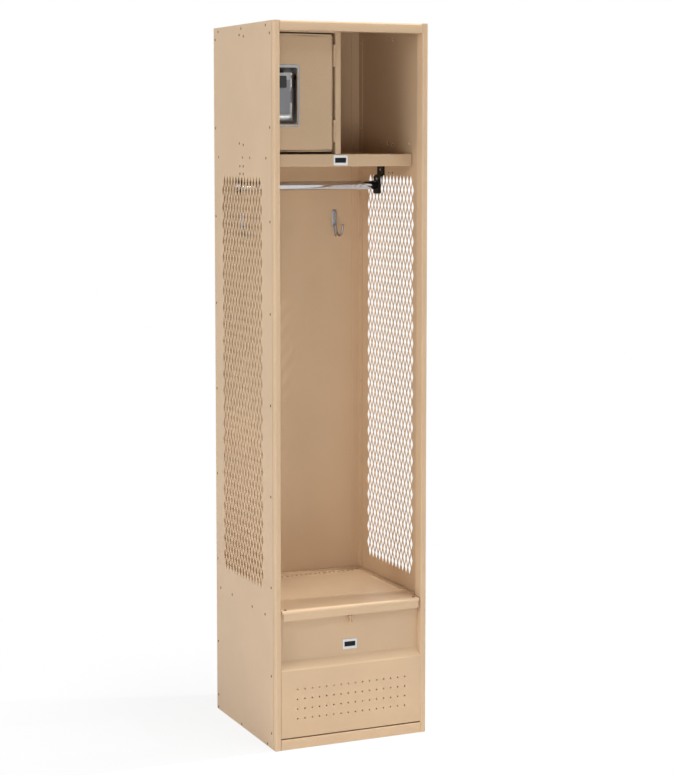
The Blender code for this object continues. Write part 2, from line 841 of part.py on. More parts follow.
def make_door_hinges():
    """Each leaf lies on the inner face of what it is fixed to: the door's folded
    edge on one side and the post's side on the other."""
    moving = []
    ax, ay = DOOR_AXIS.x, DOOR_AXIS.y
    centres = (DOOR_BOTTOM + HINGE_INSET, DOOR_TOP - HINGE_INSET)
    post = -POST_WIDTH / 2 - FIT
    door = DOOR_RIGHT + FIT
    for word, centre in zip(("lower", "upper"), centres):
        low = centre - HINGE_HEIGHT / 2
        high = centre + HINGE_HEIGHT / 2
        shift = [(low + a, low + b) for a, b in knuckle_spans(HINGE_HEIGHT, HINGE_KNUCKLES, False)]
        fixed_plate = oblong(
            post - HINGE_LEAF, post, ay + KNUCKLE_RADIUS + HINGE_PLAY, ay + HINGE_LEAF_WIDTH
        )
        fixed_web = oblong(post - HINGE_LEAF, post, ay, ay + HINGE_LEAF_WIDTH)
        hinge_leaf(
            f"box_hinge_fixed_{word}",
            "z",
            shift,
            (low, high),
            fixed_plate,
            fixed_web,
            (ax, ay),
            "powder_coat",
        )
        shift = [(low + a, low + b) for a, b in knuckle_spans(HINGE_HEIGHT, HINGE_KNUCKLES, True)]
        door_plate = oblong(
            door, door + HINGE_LEAF, ay + KNUCKLE_RADIUS + HINGE_PLAY, ay + HINGE_LEAF_WIDTH
        )
        door_web = oblong(door, door + HINGE_LEAF, ay, ay + HINGE_LEAF_WIDTH)
        moving.append(
            hinge_leaf(
                f"box_hinge_moving_{word}",
                "z",
                shift,
                (low, high),
                door_plate,
                door_web,
                (ax, ay),
                "powder_coat",
            )
        )
        prism(
            f"box_hinge_pin_{word}",
            circle(ax, ay, PIN_RADIUS, KNUCKLE_STEPS),
            "z",
            low - PIN_HEAD,
            high + PIN_HEAD,
            "zinc",
        )
    return moving


# Recessed handle, lift trigger and latch

def ring_at(inset, top, bottom, side, y, radius):
    outline = rounded_rectangle(
        CUP_LEFT + inset + side,
        CUP_CENTRE - CUP_HEIGHT / 2 + inset + bottom,
        CUP_RIGHT - inset - side,
        CUP_CENTRE + CUP_HEIGHT / 2 - inset - top,
        radius,
    )
    return [(u, y, v) for u, v in outline]


def make_handle_cup():
    skin = CUP_SHEET + FIT
    proud = UPPER_FRONT - skin - CUP_RIM_PROUD
    loops = [
        ring_at(0, 0, 0, 0, UPPER_FRONT - skin, CUP_CORNER),
        ring_at(CUP_EDGE, 0, 0, 0, proud, CUP_CORNER - CUP_EDGE),
        ring_at(CUP_RIM, 0, 0, 0, proud, CUP_CORNER - CUP_RIM / 2),
        ring_at(
            CUP_RIM,
            CUP_SLOPE_TOP,
            CUP_SLOPE_BOTTOM,
            CUP_SLOPE_SIDE,
            CUP_FLOOR,
            CUP_CORNER - CUP_RIM / 2,
        ),
    ]
    cup = lofted_shell("handle_cup", loops, CUP_SHEET, "stainless")
    middle = TRIGGER_RIGHT + TRIGGER_SIDE_GAP + SLOT_WIDTH / 2
    slot = block(
        "cup_slot_cutter",
        (middle - SLOT_WIDTH / 2, CUP_FLOOR - CUT_OVER, TRIGGER_BOTTOM),
        (middle + SLOT_WIDTH / 2, CUP_FLOOR + CUT_OVER, TRIGGER_TOP + TRIGGER_LIFT),
    )
    return boolean(cup, slot)


def make_trigger():
    """A plate with a finger lip along its lower edge and a folded right edge, whose
    link passes through the slot in the cup to the latch bar."""
    front = TRIGGER_BACK - TRIGGER_SHEET
    path = [
        (TRIGGER_BACK - TRIGGER_LIP, TRIGGER_BOTTOM),
        (TRIGGER_BACK, TRIGGER_BOTTOM),
        (TRIGGER_BACK, TRIGGER_TOP),
    ]
    outline = folded(path, [BEND], TRIGGER_SHEET, 1)
    plate = prism("lift_trigger", outline, "x", TRIGGER_LEFT, TRIGGER_RIGHT, "stainless")
    middle = TRIGGER_RIGHT + TRIGGER_SIDE_GAP + SLOT_WIDTH / 2
    height = (TRIGGER_TOP + TRIGGER_BOTTOM) / 2
    path = [
        (TRIGGER_RIGHT - LINK_LAP, front),
        (middle + TRIGGER_SHEET / 2, front),
        (middle + TRIGGER_SHEET / 2, LATCH_FRONT - FIT),
    ]
    outline = folded(path, [0], TRIGGER_SHEET, 1)
    link = prism(
        "trigger_link_tool", outline, "z", height - LINK_HEIGHT / 2, height + LINK_HEIGHT / 2
    )
    boolean(plate, link, "UNION")
    left = TRIGGER_LEFT + TRIGGER_SIDE_GAP
    top = TRIGGER_TOP - BLOCK_DROP
    pad = prism(
        "trigger_block",
        rounded_rectangle(left, top - BLOCK_HEIGHT, left + BLOCK_WIDTH, top, BLOCK_CORNER),
        "y",
        front - FIT - BLOCK_THICK,
        front - FIT,
        "black_nylon",
    )
    return [plate, pad]


def make_latch():
    """A C-shaped bar behind the cup. Its arms reach to just short of the strike."""
    right = TRIGGER_RIGHT + TRIGGER_SIDE_GAP + SLOT_WIDTH + LATCH_WIDTH / 2
    left = -LINE + JAMB_FACE + JAMB_STOP + LATCH_SHORT
    middle = (TRIGGER_TOP + TRIGGER_BOTTOM) / 2
    top = middle + LATCH_RISE / 2
    bottom = middle - LATCH_RISE / 2
    outline = [
        (right, bottom),
        (right, top),
        (left, top),
        (left, top - LATCH_ARM),
        (right - LATCH_WIDTH, top - LATCH_ARM),
        (right - LATCH_WIDTH, bottom + LATCH_ARM),
        (left, bottom + LATCH_ARM),
        (left, bottom),
    ]
    bar = prism(
        "latch_bar", outline, "y", LATCH_FRONT, LATCH_FRONT + LATCH_SHEET, "zinc"
    )
    edge = -LINE + JAMB_FACE + FIT + SHEET
    stop = DOOR_BACK + FIT + SHEET + FIT
    block(
        "latch_strike",
        (edge, stop, middle - STRIKE_RISE / 2),
        (edge + STRIKE_REACH, stop + STRIKE_SHEET, middle + STRIKE_RISE / 2),
        "zinc",
    )
    return bar


# Coat rod, brackets and hooks

def make_rod():
    reach = ROD_SEAT + ROD_PAST
    outer = circle(ROD_Y, ROD_HEIGHT, ROD_RADIUS, ROUND_STEPS)
    inner = circle(ROD_Y, ROD_HEIGHT, ROD_RADIUS - ROD_WALL, ROUND_STEPS)
    rod = perforated_sheet("coat_rod", outer, [inner], "x", -reach, reach, "chrome")
    smooth(rod)


def make_brackets():
    top = SHELF_BOTTOM - FIT
    knee = top - BRACKET_TAB
    path = [
        (LINE, top),
        (LINE, knee),
        (ROD_SEAT, knee - BRACKET_FALL),
        (ROD_SEAT, ROD_HEIGHT - BRACKET_BOTTOM),
    ]
    outline = folded(path, [0, 0], BRACKET_SHEET, -1)
    near = ROD_Y - BRACKET_DEPTH / 2
    far = ROD_Y + BRACKET_DEPTH / 2
    hole = prism(
        "rod_hole_cutter",
        circle(ROD_Y, ROD_HEIGHT, ROD_RADIUS + FIT, ROUND_STEPS),
        "x",
        -HALF,
        HALF,
    )
    for word, shape in (("right", outline), ("left", mirrored(outline))):
        bracket = prism(f"rod_bracket_{word}", shape, "y", near, far, "black_steel")
        boolean(bracket, hole)


def make_hooks():
    """Double-prong hook: a plate on the back wall and two prongs that spread from
    its foot, forwards and up."""
    face = BACK_LINE - HOOK_PLATE_THICK
    foot = HOOK_TOP - HOOK_PLATE_HEIGHT
    prong_share = (
        (0.15, 0.00, 0.10),
        (0.15, 0.16, 0.05),
        (0.20, 0.36, -0.50),
        (0.45, 0.62, -0.95),
        (0.80, 0.88, -0.75),
        (1.00, 1.00, 0.10),
    )
    for word, x in (("right", HOOK_OFF_CENTRE), ("left", -HOOK_OFF_CENTRE)):
        half = HOOK_PLATE_WIDTH / 2
        plate = prism(
            f"coat_hook_{word}",
            rounded_rectangle(x - half, foot, x + half, HOOK_TOP, HOOK_PLATE_CORNER),
            "y",
            face,
            BACK_LINE,
            "zinc",
        )
        for side in (-1, 1):
            start = face + HOOK_PLATE_THICK / 2
            points = [
                Vector(
                    (
                        x + side * HOOK_SPREAD * across,
                        start - HOOK_REACH * out,
                        foot + HOOK_WIRE + HOOK_DROP * up,
                    )
                )
                for across, out, up in prong_share
            ]
            prong = tube(f"hook_prong_tool_{word}_{side + 1}", points, HOOK_WIRE, 8)
            boolean(plate, prong, "UNION")


# Seat, continuous hinge and foot locker

def make_ledges():
    low = SEAT_TOP - LEDGE_DROP
    step = SEAT_HALF + LEDGE_GAP
    path = [
        (LINE, low),
        (LINE, SEAT_TOP),
        (step + JOGGLE, SEAT_TOP),
        (step, SEAT_UNDER),
        (step - LEDGE_LIP, SEAT_UNDER),
    ]
    outline = folded(path, [BEND, 0, 0], SHEET, 1)
    near = LAP_END + FIT
    far = STRIP_FRONT - FIT
    prism("seat_ledge_right", outline, "y", near, far, "powder_coat")
    prism("seat_ledge_left", mirrored(outline), "y", near, far, "powder_coat")
    path = [
        (STRIP_FRONT, SEAT_TOP),
        (BACK_LINE, SEAT_TOP),
        (BACK_LINE, SEAT_TOP - STRIP_FLANGE),
    ]
    outline = folded(path, [BEND], SHEET, -1)
    strip = prism("seat_rear_strip", outline, "x", -LINE, LINE, "powder_coat")
    tool = upright_cutter(
        "strip_upright_cutter", SEAT_TOP - STRIP_FLANGE - CUT_OVER, SEAT_TOP + CUT_OVER
    )
    boolean(strip, tool)


def make_seat_lid():
    path = [
        (FRONT, SEAT_TOP - SEAT_FLANGE),
        (FRONT, SEAT_TOP),
        (SEAT_BACK, SEAT_TOP),
    ]
    outline = folded(path, [SEAT_BEND], SHEET, -1)
    lid = prism("seat_lid", outline, "x", -SEAT_HALF, SEAT_HALF, "powder_coat")
    bm = bmesh.new()
    inset = BUMPER_STEM + FIT
    for side in (-1, 1):
        spot = circle(side * (SEAT_HALF - BUMPER_INSET), FRONT + BUMPER_INSET, inset, BUTTON_STEPS)
        add_prism(bm, spot, "z", SEAT_TOP - SHEET - CUT_OVER, SEAT_TOP + CUT_OVER)
    boolean(lid, object_from(bm, "bumper_hole_cutter"))
    return lid


def make_seat_hinge():
    ay, az = SEAT_AXIS.y, SEAT_AXIS.z
    reach = SEAT_HALF - SEAT_LEAF_SIDE
    top = SEAT_UNDER
    low = top - HINGE_LEAF
    gap = KNUCKLE_RADIUS + HINGE_PLAY
    fixed_plate = oblong(ay + gap, ay + SEAT_LEAF_WIDTH, low, top)
    fixed_web = oblong(ay, ay + SEAT_LEAF_WIDTH, low, top)
    moving_plate = oblong(ay - SEAT_LEAF_WIDTH, ay - gap, low, top)
    moving_web = oblong(ay - SEAT_LEAF_WIDTH, ay, low, top)
    leaves = []
    for name, odd, plate, web in (
        ("seat_hinge_fixed", True, fixed_plate, fixed_web),
        ("seat_hinge_moving", False, moving_plate, moving_web),
    ):
        spans = [
            (a - reach, b - reach) for a, b in knuckle_spans(reach + reach, SEAT_KNUCKLES, odd)
        ]
        leaves.append(
            hinge_leaf(name, "x", spans, (-reach, reach), plate, web, (ay, az), "powder_coat")
        )
    prism(
        "seat_hinge_pin",
        circle(ay, az, PIN_RADIUS, KNUCKLE_STEPS),
        "x",
        -reach - PIN_HEAD,
        reach + PIN_HEAD,
        "zinc",
    )
    return leaves[1]


def turned(name, profile, centre, steps, finish):
    """A solid turned about a vertical line, from radius and height pairs."""
    bm = bmesh.new()
    rings = []
    for radius, z in profile:
        ring = [
            bm.verts.new((u, v, z)) for u, v in circle(centre[0], centre[1], radius, steps)
        ]
        rings.append(ring)
    for near, far in zip(rings, rings[1:]):
        for k in range(steps):
            j = (k + 1) % steps
            bm.faces.new((near[k], near[j], far[j], far[k]))
    bm.faces.new(rings[0])
    bm.faces.new(rings[-1])
    item = object_from(bm, name, finish)
    smooth(item)
    return item


def make_bumpers():
    """Rubber buttons pushed through the lid: a dome above, a foot below."""
    bumpers = []
    top = SEAT_TOP + FIT
    under = SEAT_TOP - SHEET - FIT / 2
    profile = [
        (BUMPER_STEM, under),
        (BUMPER_STEM, top),
        (BUMPER_HEAD, top),
        (BUMPER_HEAD - BUMPER_DOME / 2, top + BUMPER_DOME / 2),
        (BUMPER_STEM, top + BUMPER_DOME),
    ]
    for word, side in (("left", -1), ("right", 1)):
        centre = (side * (SEAT_HALF - BUMPER_INSET), FRONT + BUMPER_INSET)
        bumpers.append(turned(f"lid_bumper_{word}", profile, centre, BUTTON_STEPS, "rubber"))
    return bumpers


def make_front_panel():
    face = FRONT + PANEL_SET
    foot = FRONT + PANEL_FOOT
    path = [
        (foot, BASE_TOP + FIT),
        (foot, PANEL_BOTTOM),
        (face, PANEL_BOTTOM),
        (face, PANEL_BEND_HEIGHT),
        (PANEL_FACE, PANEL_SLOPE_TOP),
        (PANEL_FACE, SEAT_UNDER),
        (PANEL_FACE + PANEL_RETURN, SEAT_UNDER),
    ]
    outline = folded(path, [0, BEND, PANEL_BEND, PANEL_BEND, BEND], SHEET, -1)
    panel = prism("foot_locker_front", outline, "x", -PANEL_HALF, PANEL_HALF, "powder_coat")
    bm = bmesh.new()
    first = -VENT_PITCH_X * (VENT_COLUMNS - 1) / 2
    for row in range(VENT_ROWS):
        for column in range(VENT_COLUMNS):
            spot = circle(
                first + column * VENT_PITCH_X,
                VENT_TOP - row * VENT_PITCH_Z,
                VENT_RADIUS,
                VENT_STEPS,
            )
            add_prism(bm, spot, "y", face - CUT_OVER, face + SHEET + CUT_OVER)
    boolean(panel, object_from(bm, "vent_cutter"))


def eye_plate(name, x0, x1, y0, y1, z0, z1, centre):
    outline = rounded_rectangle(y0, z0, y1, z1, EYE_HOLE / 2)
    hole = circle(*centre, EYE_HOLE, BUTTON_STEPS)
    return perforated_sheet(name, outline, [hole], "x", x0, x1, "powder_coat")


def make_hasp():
    """Two upright eyes side by side, one on the front panel and one on the lid."""
    behind = FRONT + SHEET
    middle = (behind + PANEL_FACE) / 2
    centre = (middle, (EYE_BOTTOM + EYE_TOP) / 2)
    eye_plate(
        "hasp_eye",
        EYE_OFFSET,
        EYE_OFFSET + EYE_SHEET,
        behind + EYE_CLEAR,
        PANEL_FACE - FIT,
        EYE_BOTTOM,
        EYE_TOP,
        centre,
    )
    return eye_plate(
        "lid_hasp_tab",
        -EYE_OFFSET - EYE_SHEET,
        -EYE_OFFSET,
        behind + FIT,
        PANEL_FACE - EYE_CLEAR,
        EYE_BOTTOM,
        TAB_TOP,
        centre,
    )


# Number plates

def number_plate(name, x, z, face):
    """A rounded plate with a sunk field; face is what it is fixed to."""
    half = PLATE_WIDTH / 2
    rise = PLATE_HEIGHT / 2
    back = face - FIT
    plate = prism(
        name,
        rounded_rectangle(x - half, z - rise, x + half, z + rise, PLATE_CORNER),
        "y",
        back - PLATE_THICK,
        back,
        "plate",
    )
    inset = PLATE_BORDER
    field = prism(
        f"{name}_field_cutter",
        rounded_rectangle(
            x - half + inset,
            z - rise + inset,
            x + half - inset,
            z + rise - inset,
            PLATE_CORNER / 2,
        ),
        "y",
        back - PLATE_THICK - CUT_OVER,
        back - PLATE_THICK + PLATE_SINK,
    )
    boolean(plate, field)


def make_plates():
    middle = (SHELF_TOP + SHELF_BOTTOM) / 2
    number_plate("shelf_number_plate", SHELF_PLATE_X, middle, UPPER_FRONT)
    number_plate("base_number_plate", BASE_PLATE_X, BASE_PLATE_Z, PANEL_FACE)


def main():
    clear_objects()
    make_stiles()
    make_rails()
    make_side_panels()
    make_carcass()
    make_shelf()
    make_box_frame()
    door = [make_box_door(), *make_door_hinges(), make_handle_cup()]
    latch = [*make_trigger(), make_latch()]
    make_rod()
    make_brackets()
    make_hooks()
    make_ledges()
    lid = [make_seat_lid(), make_seat_hinge(), *make_bumpers(), make_hasp()]
    make_front_panel()
    make_plates()

    door_pivot = pivot("box_door_axis", DOOR_AXIS)
    carry(door_pivot, DOOR_AXIS, door)
    slide = Vector((TRIGGER_LEFT, TRIGGER_BACK, TRIGGER_BOTTOM))
    latch_pivot = pivot("box_latch_slide", slide, door_pivot)
    carry(latch_pivot, slide, latch)
    lid_pivot = pivot("seat_lid_axis", SEAT_AXIS)
    carry(lid_pivot, SEAT_AXIS, lid)


main()
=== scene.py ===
"""Looks of the doorless wardrobe locker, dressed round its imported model.

Metres, +Z up, front towards -Y. Every piece stands where its CAD node stands.
"""

import math

import bmesh
import bpy
from bpy.props import FloatProperty, FloatVectorProperty, IntProperty, PointerProperty
from bpy.types import Operator, Panel, PropertyGroup
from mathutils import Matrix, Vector


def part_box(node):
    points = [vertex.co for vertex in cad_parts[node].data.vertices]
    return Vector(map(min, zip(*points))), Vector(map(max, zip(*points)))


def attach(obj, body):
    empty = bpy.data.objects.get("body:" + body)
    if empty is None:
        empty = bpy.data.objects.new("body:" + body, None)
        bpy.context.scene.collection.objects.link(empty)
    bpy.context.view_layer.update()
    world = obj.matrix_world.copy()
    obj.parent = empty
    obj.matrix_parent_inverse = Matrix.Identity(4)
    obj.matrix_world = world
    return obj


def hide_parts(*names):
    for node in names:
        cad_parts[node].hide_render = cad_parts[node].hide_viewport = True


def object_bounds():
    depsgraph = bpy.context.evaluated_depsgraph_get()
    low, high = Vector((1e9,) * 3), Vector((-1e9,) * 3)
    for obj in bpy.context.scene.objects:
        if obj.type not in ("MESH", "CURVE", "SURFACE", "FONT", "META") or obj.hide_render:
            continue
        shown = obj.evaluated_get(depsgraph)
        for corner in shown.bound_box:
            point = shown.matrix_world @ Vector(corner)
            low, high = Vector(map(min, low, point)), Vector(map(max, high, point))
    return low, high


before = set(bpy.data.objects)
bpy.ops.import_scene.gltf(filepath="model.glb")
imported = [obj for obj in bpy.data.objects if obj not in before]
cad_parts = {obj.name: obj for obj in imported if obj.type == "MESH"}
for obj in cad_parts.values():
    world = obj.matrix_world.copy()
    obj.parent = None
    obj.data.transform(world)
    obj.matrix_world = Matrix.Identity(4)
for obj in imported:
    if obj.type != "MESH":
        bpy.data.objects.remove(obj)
CAD_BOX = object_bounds()

bl_info = {
    "name": "Doorless Wardrobe Locker",
    "version": (1, 0, 0),
    "blender": (4, 5, 0),
    "location": "View3D > Sidebar > Locker",
    "description": "Dresses the packed locker with its finished pieces, finishes and stage",
    "category": "Add Mesh",
}

MM = 0.001

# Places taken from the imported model; FIT is the play between sheets that lap
FRONT, BACK = CAD_BOX[0].y, CAD_BOX[1].y
HALF, HEIGHT = CAD_BOX[1].x, CAD_BOX[1].z
FIT = 0.3 * MM
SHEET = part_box("divider_panel")[1].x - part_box("divider_panel")[0].x
WALL = HALF - SHEET
LINE = WALL - FIT
CEILING = HEIGHT - SHEET - FIT
BACK_LINE = BACK - SHEET - FIT
OPEN_HALF = HALF - 17.5 * MM
UPPER_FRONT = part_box("hat_shelf")[0].y
SHELF_BOTTOM, SHELF_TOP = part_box("hat_shelf")[0].z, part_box("hat_shelf")[1].z
SEAT_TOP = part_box("seat_lid")[1].z
NOTCH = 12 * MM

# Hinges: sheet of the leaves, outer radius of the knuckles, and how far from the pin
# the plates start
LEAF, BARREL = 1.2 * MM, 3.2 * MM
CLEAR = BARREL + 0.4 * MM
# How far flush screws sink, and a hair's breadth that keeps faces from coinciding
SUNK, HAIR = 0.15 * MM, 0.02 * MM


# Plain geometry

def place(axis, u, v, w):
    """A point from its two plane coordinates and its place along the axis."""
    if axis == "x":
        return Vector((w, u, v))
    if axis == "y":
        return Vector((u, w, v))
    return Vector((u, v, w))


def oblong(u0, u1, v0, v1):
    return [(u0, v0), (u1, v0), (u1, v1), (u0, v1)]


def circle(u, v, radius, steps):
    turn = 2 * math.pi / steps
    return [
        (u + radius * math.cos(i * turn), v + radius * math.sin(i * turn))
        for i in range(steps)
    ]


def rounded_rectangle(u0, v0, u1, v1, radius, steps=6):
    corners = [
        (u1 - radius, v1 - radius, 0),
        (u0 + radius, v1 - radius, 1),
        (u0 + radius, v0 + radius, 2),
        (u1 - radius, v0 + radius, 3),
    ]
    points = []
    for cu, cv, quarter in corners:
        for i in range(steps + 1):
            angle = (quarter + i / steps) * math.pi / 2
            points.append((cu + radius * math.cos(angle), cv + radius * math.sin(angle)))
    return points


def rounded_path(points, radii, steps=8):
    """The polyline with each inner corner replaced by an arc of its radius."""
    path = [Vector(points[0])]
    for i in range(1, len(points) - 1):
        corner, radius = Vector(points[i]), radii[i - 1]
        before = (Vector(points[i - 1]) - corner).normalized()
        after = (Vector(points[i + 1]) - corner).normalized()
        angle = before.angle(after)
        if not radius or abs(angle - math.pi) < math.radians(1):
            path.append(corner)
            continue
        run = radius / math.tan(angle / 2)
        centre = corner + (before + after).normalized() * radius / math.sin(angle / 2)
        first = corner + before * run - centre
        sweep = first.angle_signed(corner + after * run - centre)
        for k in range(steps + 1):
            turn = -sweep * k / steps
            c, s = math.cos(turn), math.sin(turn)
            path.append(centre + Vector((first.x * c - first.y * s, first.x * s + first.y * c)))
    path.append(Vector(points[-1]))
    return path


def folded(points, radii, thickness, side):
    """Closed outline of a bent sheet, drawn along one face; the other face lies to
    the left of the path for side 1 and to the right for side -1."""
    path = rounded_path(points, radii)
    other = []
    for i, spot in enumerate(path):
        normals = []
        for a, b in ((i - 1, i), (i, i + 1)):
            if 0 <= a and b < len(path):
                run = (path[b] - path[a]).normalized()
                normals.append(Vector((-run.y, run.x)))
        mitre = normals[0]
        if len(normals) == 2:
            mitre = (normals[0] + normals[1]) / (1 + normals[0].dot(normals[1]))
        other.append(spot + mitre * thickness * side)
    return [tuple(p) for p in path] + [tuple(p) for p in reversed(other)]


def mirrored(points):
    return [(-u, v) for u, v in points]


def join_rings(bm, rings, caps=True):
    """Walls between rings of equal count, and a face over each end."""
    count = len(rings[0])
    for near, far in zip(rings, rings[1:]):
        for i in range(count):
            j = (i + 1) % count
            bm.faces.new((near[i], near[j], far[j], far[i]))
    if caps:
        bm.faces.new(rings[0])
        bm.faces.new(rings[-1])


def add_prism(bm, points, axis, start, end):
    rings = [[bm.verts.new(place(axis, u, v, w)) for u, v in points] for w in (start, end)]
    join_rings(bm, rings)


def add_turned(bm, profile, centre, axis, steps=20):
    """A solid turned about a line along the axis, from radius and height pairs."""
    rings = []
    for radius, w in profile:
        spots = circle(centre[0], centre[1], max(radius, 0.01 * MM), steps)
        rings.append([bm.verts.new(place(axis, u, v, w)) for u, v in spots])
    join_rings(bm, rings)


def both_ends(radius, start, end, form):
    """A turned profile whose two ends are alike. The form says for each point how far
    it lies inside the radius and inside the end, in mm."""
    near = [(radius - less * MM, start + run * MM) for less, run in form]
    return near + [(radius - less * MM, end - run * MM) for less, run in reversed(form)]


def add_stepped(bm, low, high, levels):
    """A plate that faces along Y in steps. Each level says how far it lies inside the
    sides and the ends, its corner radius and its depth."""
    rings = []
    for side, end, radius, y in levels:
        outline = rounded_rectangle(
            low.x + side, low.z + end, high.x - side, high.z - end, radius
        )
        rings.append([bm.verts.new((u, y, v)) for u, v in outline])
    join_rings(bm, rings)


def add_swept(bm, points, radii, steps=20):
    """A round bar along a path of points, with a radius at each of them."""
    rings, side = [], None
    spin = [2 * math.pi * k / steps for k in range(steps)]
    for i, spot in enumerate(points):
        ahead = points[min(i + 1, len(points) - 1)] - points[max(i - 1, 0)]
        ahead.normalize()
        side = side or ahead.orthogonal().normalized()
        side = (side - ahead * side.dot(ahead)).normalized()
        other = ahead.cross(side)
        rings.append([
            bm.verts.new(spot + (side * math.cos(t) + other * math.sin(t)) * radii[i])
            for t in spin
        ])
    join_rings(bm, rings)


def flowing(points, between=6):
    """Points on one smooth curve through the given ones."""
    found = []
    for i in range(len(points) - 1):
        a, b = points[max(i - 1, 0)], points[i]
        c, d = points[i + 1], points[min(i + 2, len(points) - 1)]
        for k in range(between):
            t = k / between
            found.append(
                0.5 * (2 * b + (c - a) * t + (2 * a - 5 * b + 4 * c - d) * t * t
                       + (3 * b - a - 3 * c + d) * t * t * t)
            )
    found.append(points[-1].copy())
    return found


def object_from(bm, name):
    bmesh.ops.recalc_face_normals(bm, faces=bm.faces[:])
    mesh = bpy.data.meshes.new(name)
    bm.to_mesh(mesh)
    bm.free()
    item = bpy.data.objects.new(name, mesh)
    bpy.context.scene.collection.objects.link(item)
    return item


def prism(name, points, axis, start, end):
    bm = bmesh.new()
    add_prism(bm, points, axis, start, end)
    return object_from(bm, name)


def settle(item):
    """Turn an object's modifiers into plain mesh."""
    graph = bpy.context.evaluated_depsgraph_get()
    made = bpy.data.meshes.new_from_object(item.evaluated_get(graph))
    item.modifiers.clear()
    item.data = made
    return item


def cut(item, tool, operation="DIFFERENCE"):
    change = item.modifiers.new(tool.name, "BOOLEAN")
    change.operation = operation
    change.object = tool
    change.solver = "MANIFOLD"
    settle(item)
    bpy.data.objects.remove(tool)


def joined(item, other):
    """One piece of two that are welded together."""
    bm = bmesh.new()
    for part in (item, other):
        bm.from_mesh(part.data)
    bm.to_mesh(item.data)
    bm.free()
    bpy.data.objects.remove(other)


def break_edges(item, width):
    """Bevel every sharp edge, as deburring does."""
    edge = item.modifiers.new("broken edges", "BEVEL")
    edge.width = width
    edge.segments = 2
    edge.limit_method = "ANGLE"
    edge.angle_limit = math.radians(40)
    return edge


def dress(item, word="powder_coat", body="cabinet", nodes=(), edge=0, smooth=0):
    """Give a new piece its finish, its body and the CAD nodes it stands for. It is
    smooth up to an angle in degrees; a piece with broken edges is smooth up to 30."""
    item.data.materials.clear()
    item.data.materials.append(finish(word))
    if edge or smooth:
        item.data.shade_smooth()
        item.data.set_sharp_from_angle(angle=math.radians(smooth or 30))
    if edge:
        break_edges(item, edge).harden_normals = True
    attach(item, body)
    if nodes:
        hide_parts(*nodes)


def bent_sheet(name, points, radii, side, axis, start, end):
    return prism(name, folded(points, radii, SHEET, side), axis, start, end)


def formed_pan(name, low, high, level, flanges, axis, sign, radius, notch=3 * MM):
    """A folded pan: a flat skin at level with rounded bends into flanges, which run
    towards sign along the axis and stop short of its notched corners."""
    (u0, v0), (u1, v1) = low, high
    near_u, far_u, near_v, far_v = u0 + notch, u1 - notch, v0 + notch, v1 - notch
    bm = bmesh.new()
    ring = [
        (near_u, v0), (far_u, v0), (far_u, near_v), (u1, near_v), (u1, far_v), (far_u, far_v),
        (far_u, v1), (near_u, v1), (near_u, far_v), (u0, far_v), (u0, near_v), (near_u, near_v),
    ]
    top = [bm.verts.new(place(axis, u, v, level)) for u, v in ring]
    bm.faces.new(top)
    bends = []
    for word, a, b in (("low_v", 0, 1), ("high_u", 3, 4), ("high_v", 6, 7), ("low_u", 9, 10)):
        if word in flanges:
            drop = place(axis, 0, 0, sign * flanges[word])
            low_a, low_b = bm.verts.new(top[a].co + drop), bm.verts.new(top[b].co + drop)
            bm.faces.new((top[a], top[b], low_b, low_a))
            bends.append(bm.edges.get((top[a], top[b])))
    bmesh.ops.bevel(bm, geom=bends, offset=radius, segments=5, profile=0.5, affect="EDGES")
    item = object_from(bm, name)
    flat = max(item.data.polygons, key=lambda face: face.area)
    if flat.normal.dot(place(axis, 0, 0, -sign)) < 0:
        item.data.flip_normals()
    solid = item.modifiers.new("sheet", "SOLIDIFY")
    solid.solidify_mode = "NON_MANIFOLD"
    solid.nonmanifold_thickness_mode = "EVEN"
    solid.nonmanifold_boundary_mode = "NONE"
    solid.thickness = SHEET
    solid.offset = -1
    return settle(item)


def pierced_sheet(name, outline, holes, axis, face, back, edge):
    """A flat sheet cut through by holes, whose rims are broken on both faces. Each
    hole is a function that gives its outline for a growth of its size."""
    bm = bmesh.new()
    step = math.copysign(edge, back - face)
    rims = {}
    for w in (face, back):
        edges, rims[w] = [], []
        for loop in [outline, *(hole(edge) for hole in holes)]:
            ring = [bm.verts.new(place(axis, u, v, w)) for u, v in loop]
            rims[w].append(ring)
            edges += [bm.edges.new((ring[i - 1], ring[i])) for i in range(len(ring))]
        bmesh.ops.triangle_fill(bm, use_beauty=True, use_dissolve=False, edges=edges)
    join_rings(bm, [rims[face][0], rims[back][0]], caps=False)
    for i, hole in enumerate(holes, 1):
        middle = [
            [bm.verts.new(place(axis, u, v, w)) for u, v in hole(0)]
            for w in (face + step, back - step)
        ]
        join_rings(bm, [rims[face][i], *middle, rims[back][i]], caps=False)
    return object_from(bm, name)


# Finishes

def linear(code):
    """Linear red, green and blue of a colour written as sRGB hex."""
    parts = [int(code[i:i + 2], 16) / 255 for i in (1, 3, 5)]
    return tuple(c / 12.92 if c <= 0.04045 else ((c + 0.055) / 1.055) ** 2.4 for c in parts)


def add_node(tree, kind, inputs=None, **settings):
    """Add a node: its settings, and for each input a value or an output to link."""
    node = tree.nodes.new(kind)
    for key, value in settings.items():
        setattr(node, key, value)
    for key, value in (inputs or {}).items():
        if isinstance(value, bpy.types.NodeSocket):
            tree.links.new(value, node.inputs[key])
        else:
            node.inputs[key].default_value = value
    return node


def surface(name, metallic=0.0, ior=1.5, specular=0.5):
    """An empty finish: its node tree, its shader and the object's own coordinates."""
    made = bpy.data.materials.new(name)
    made.use_nodes = True
    tree = made.node_tree
    shader = tree.nodes["Principled BSDF"]
    shader.inputs["Metallic"].default_value = metallic
    shader.inputs["IOR"].default_value = ior
    shader.inputs["Specular IOR Level"].default_value = specular
    return made, tree, shader, add_node(tree, "ShaderNodeTexCoord").outputs["Object"]


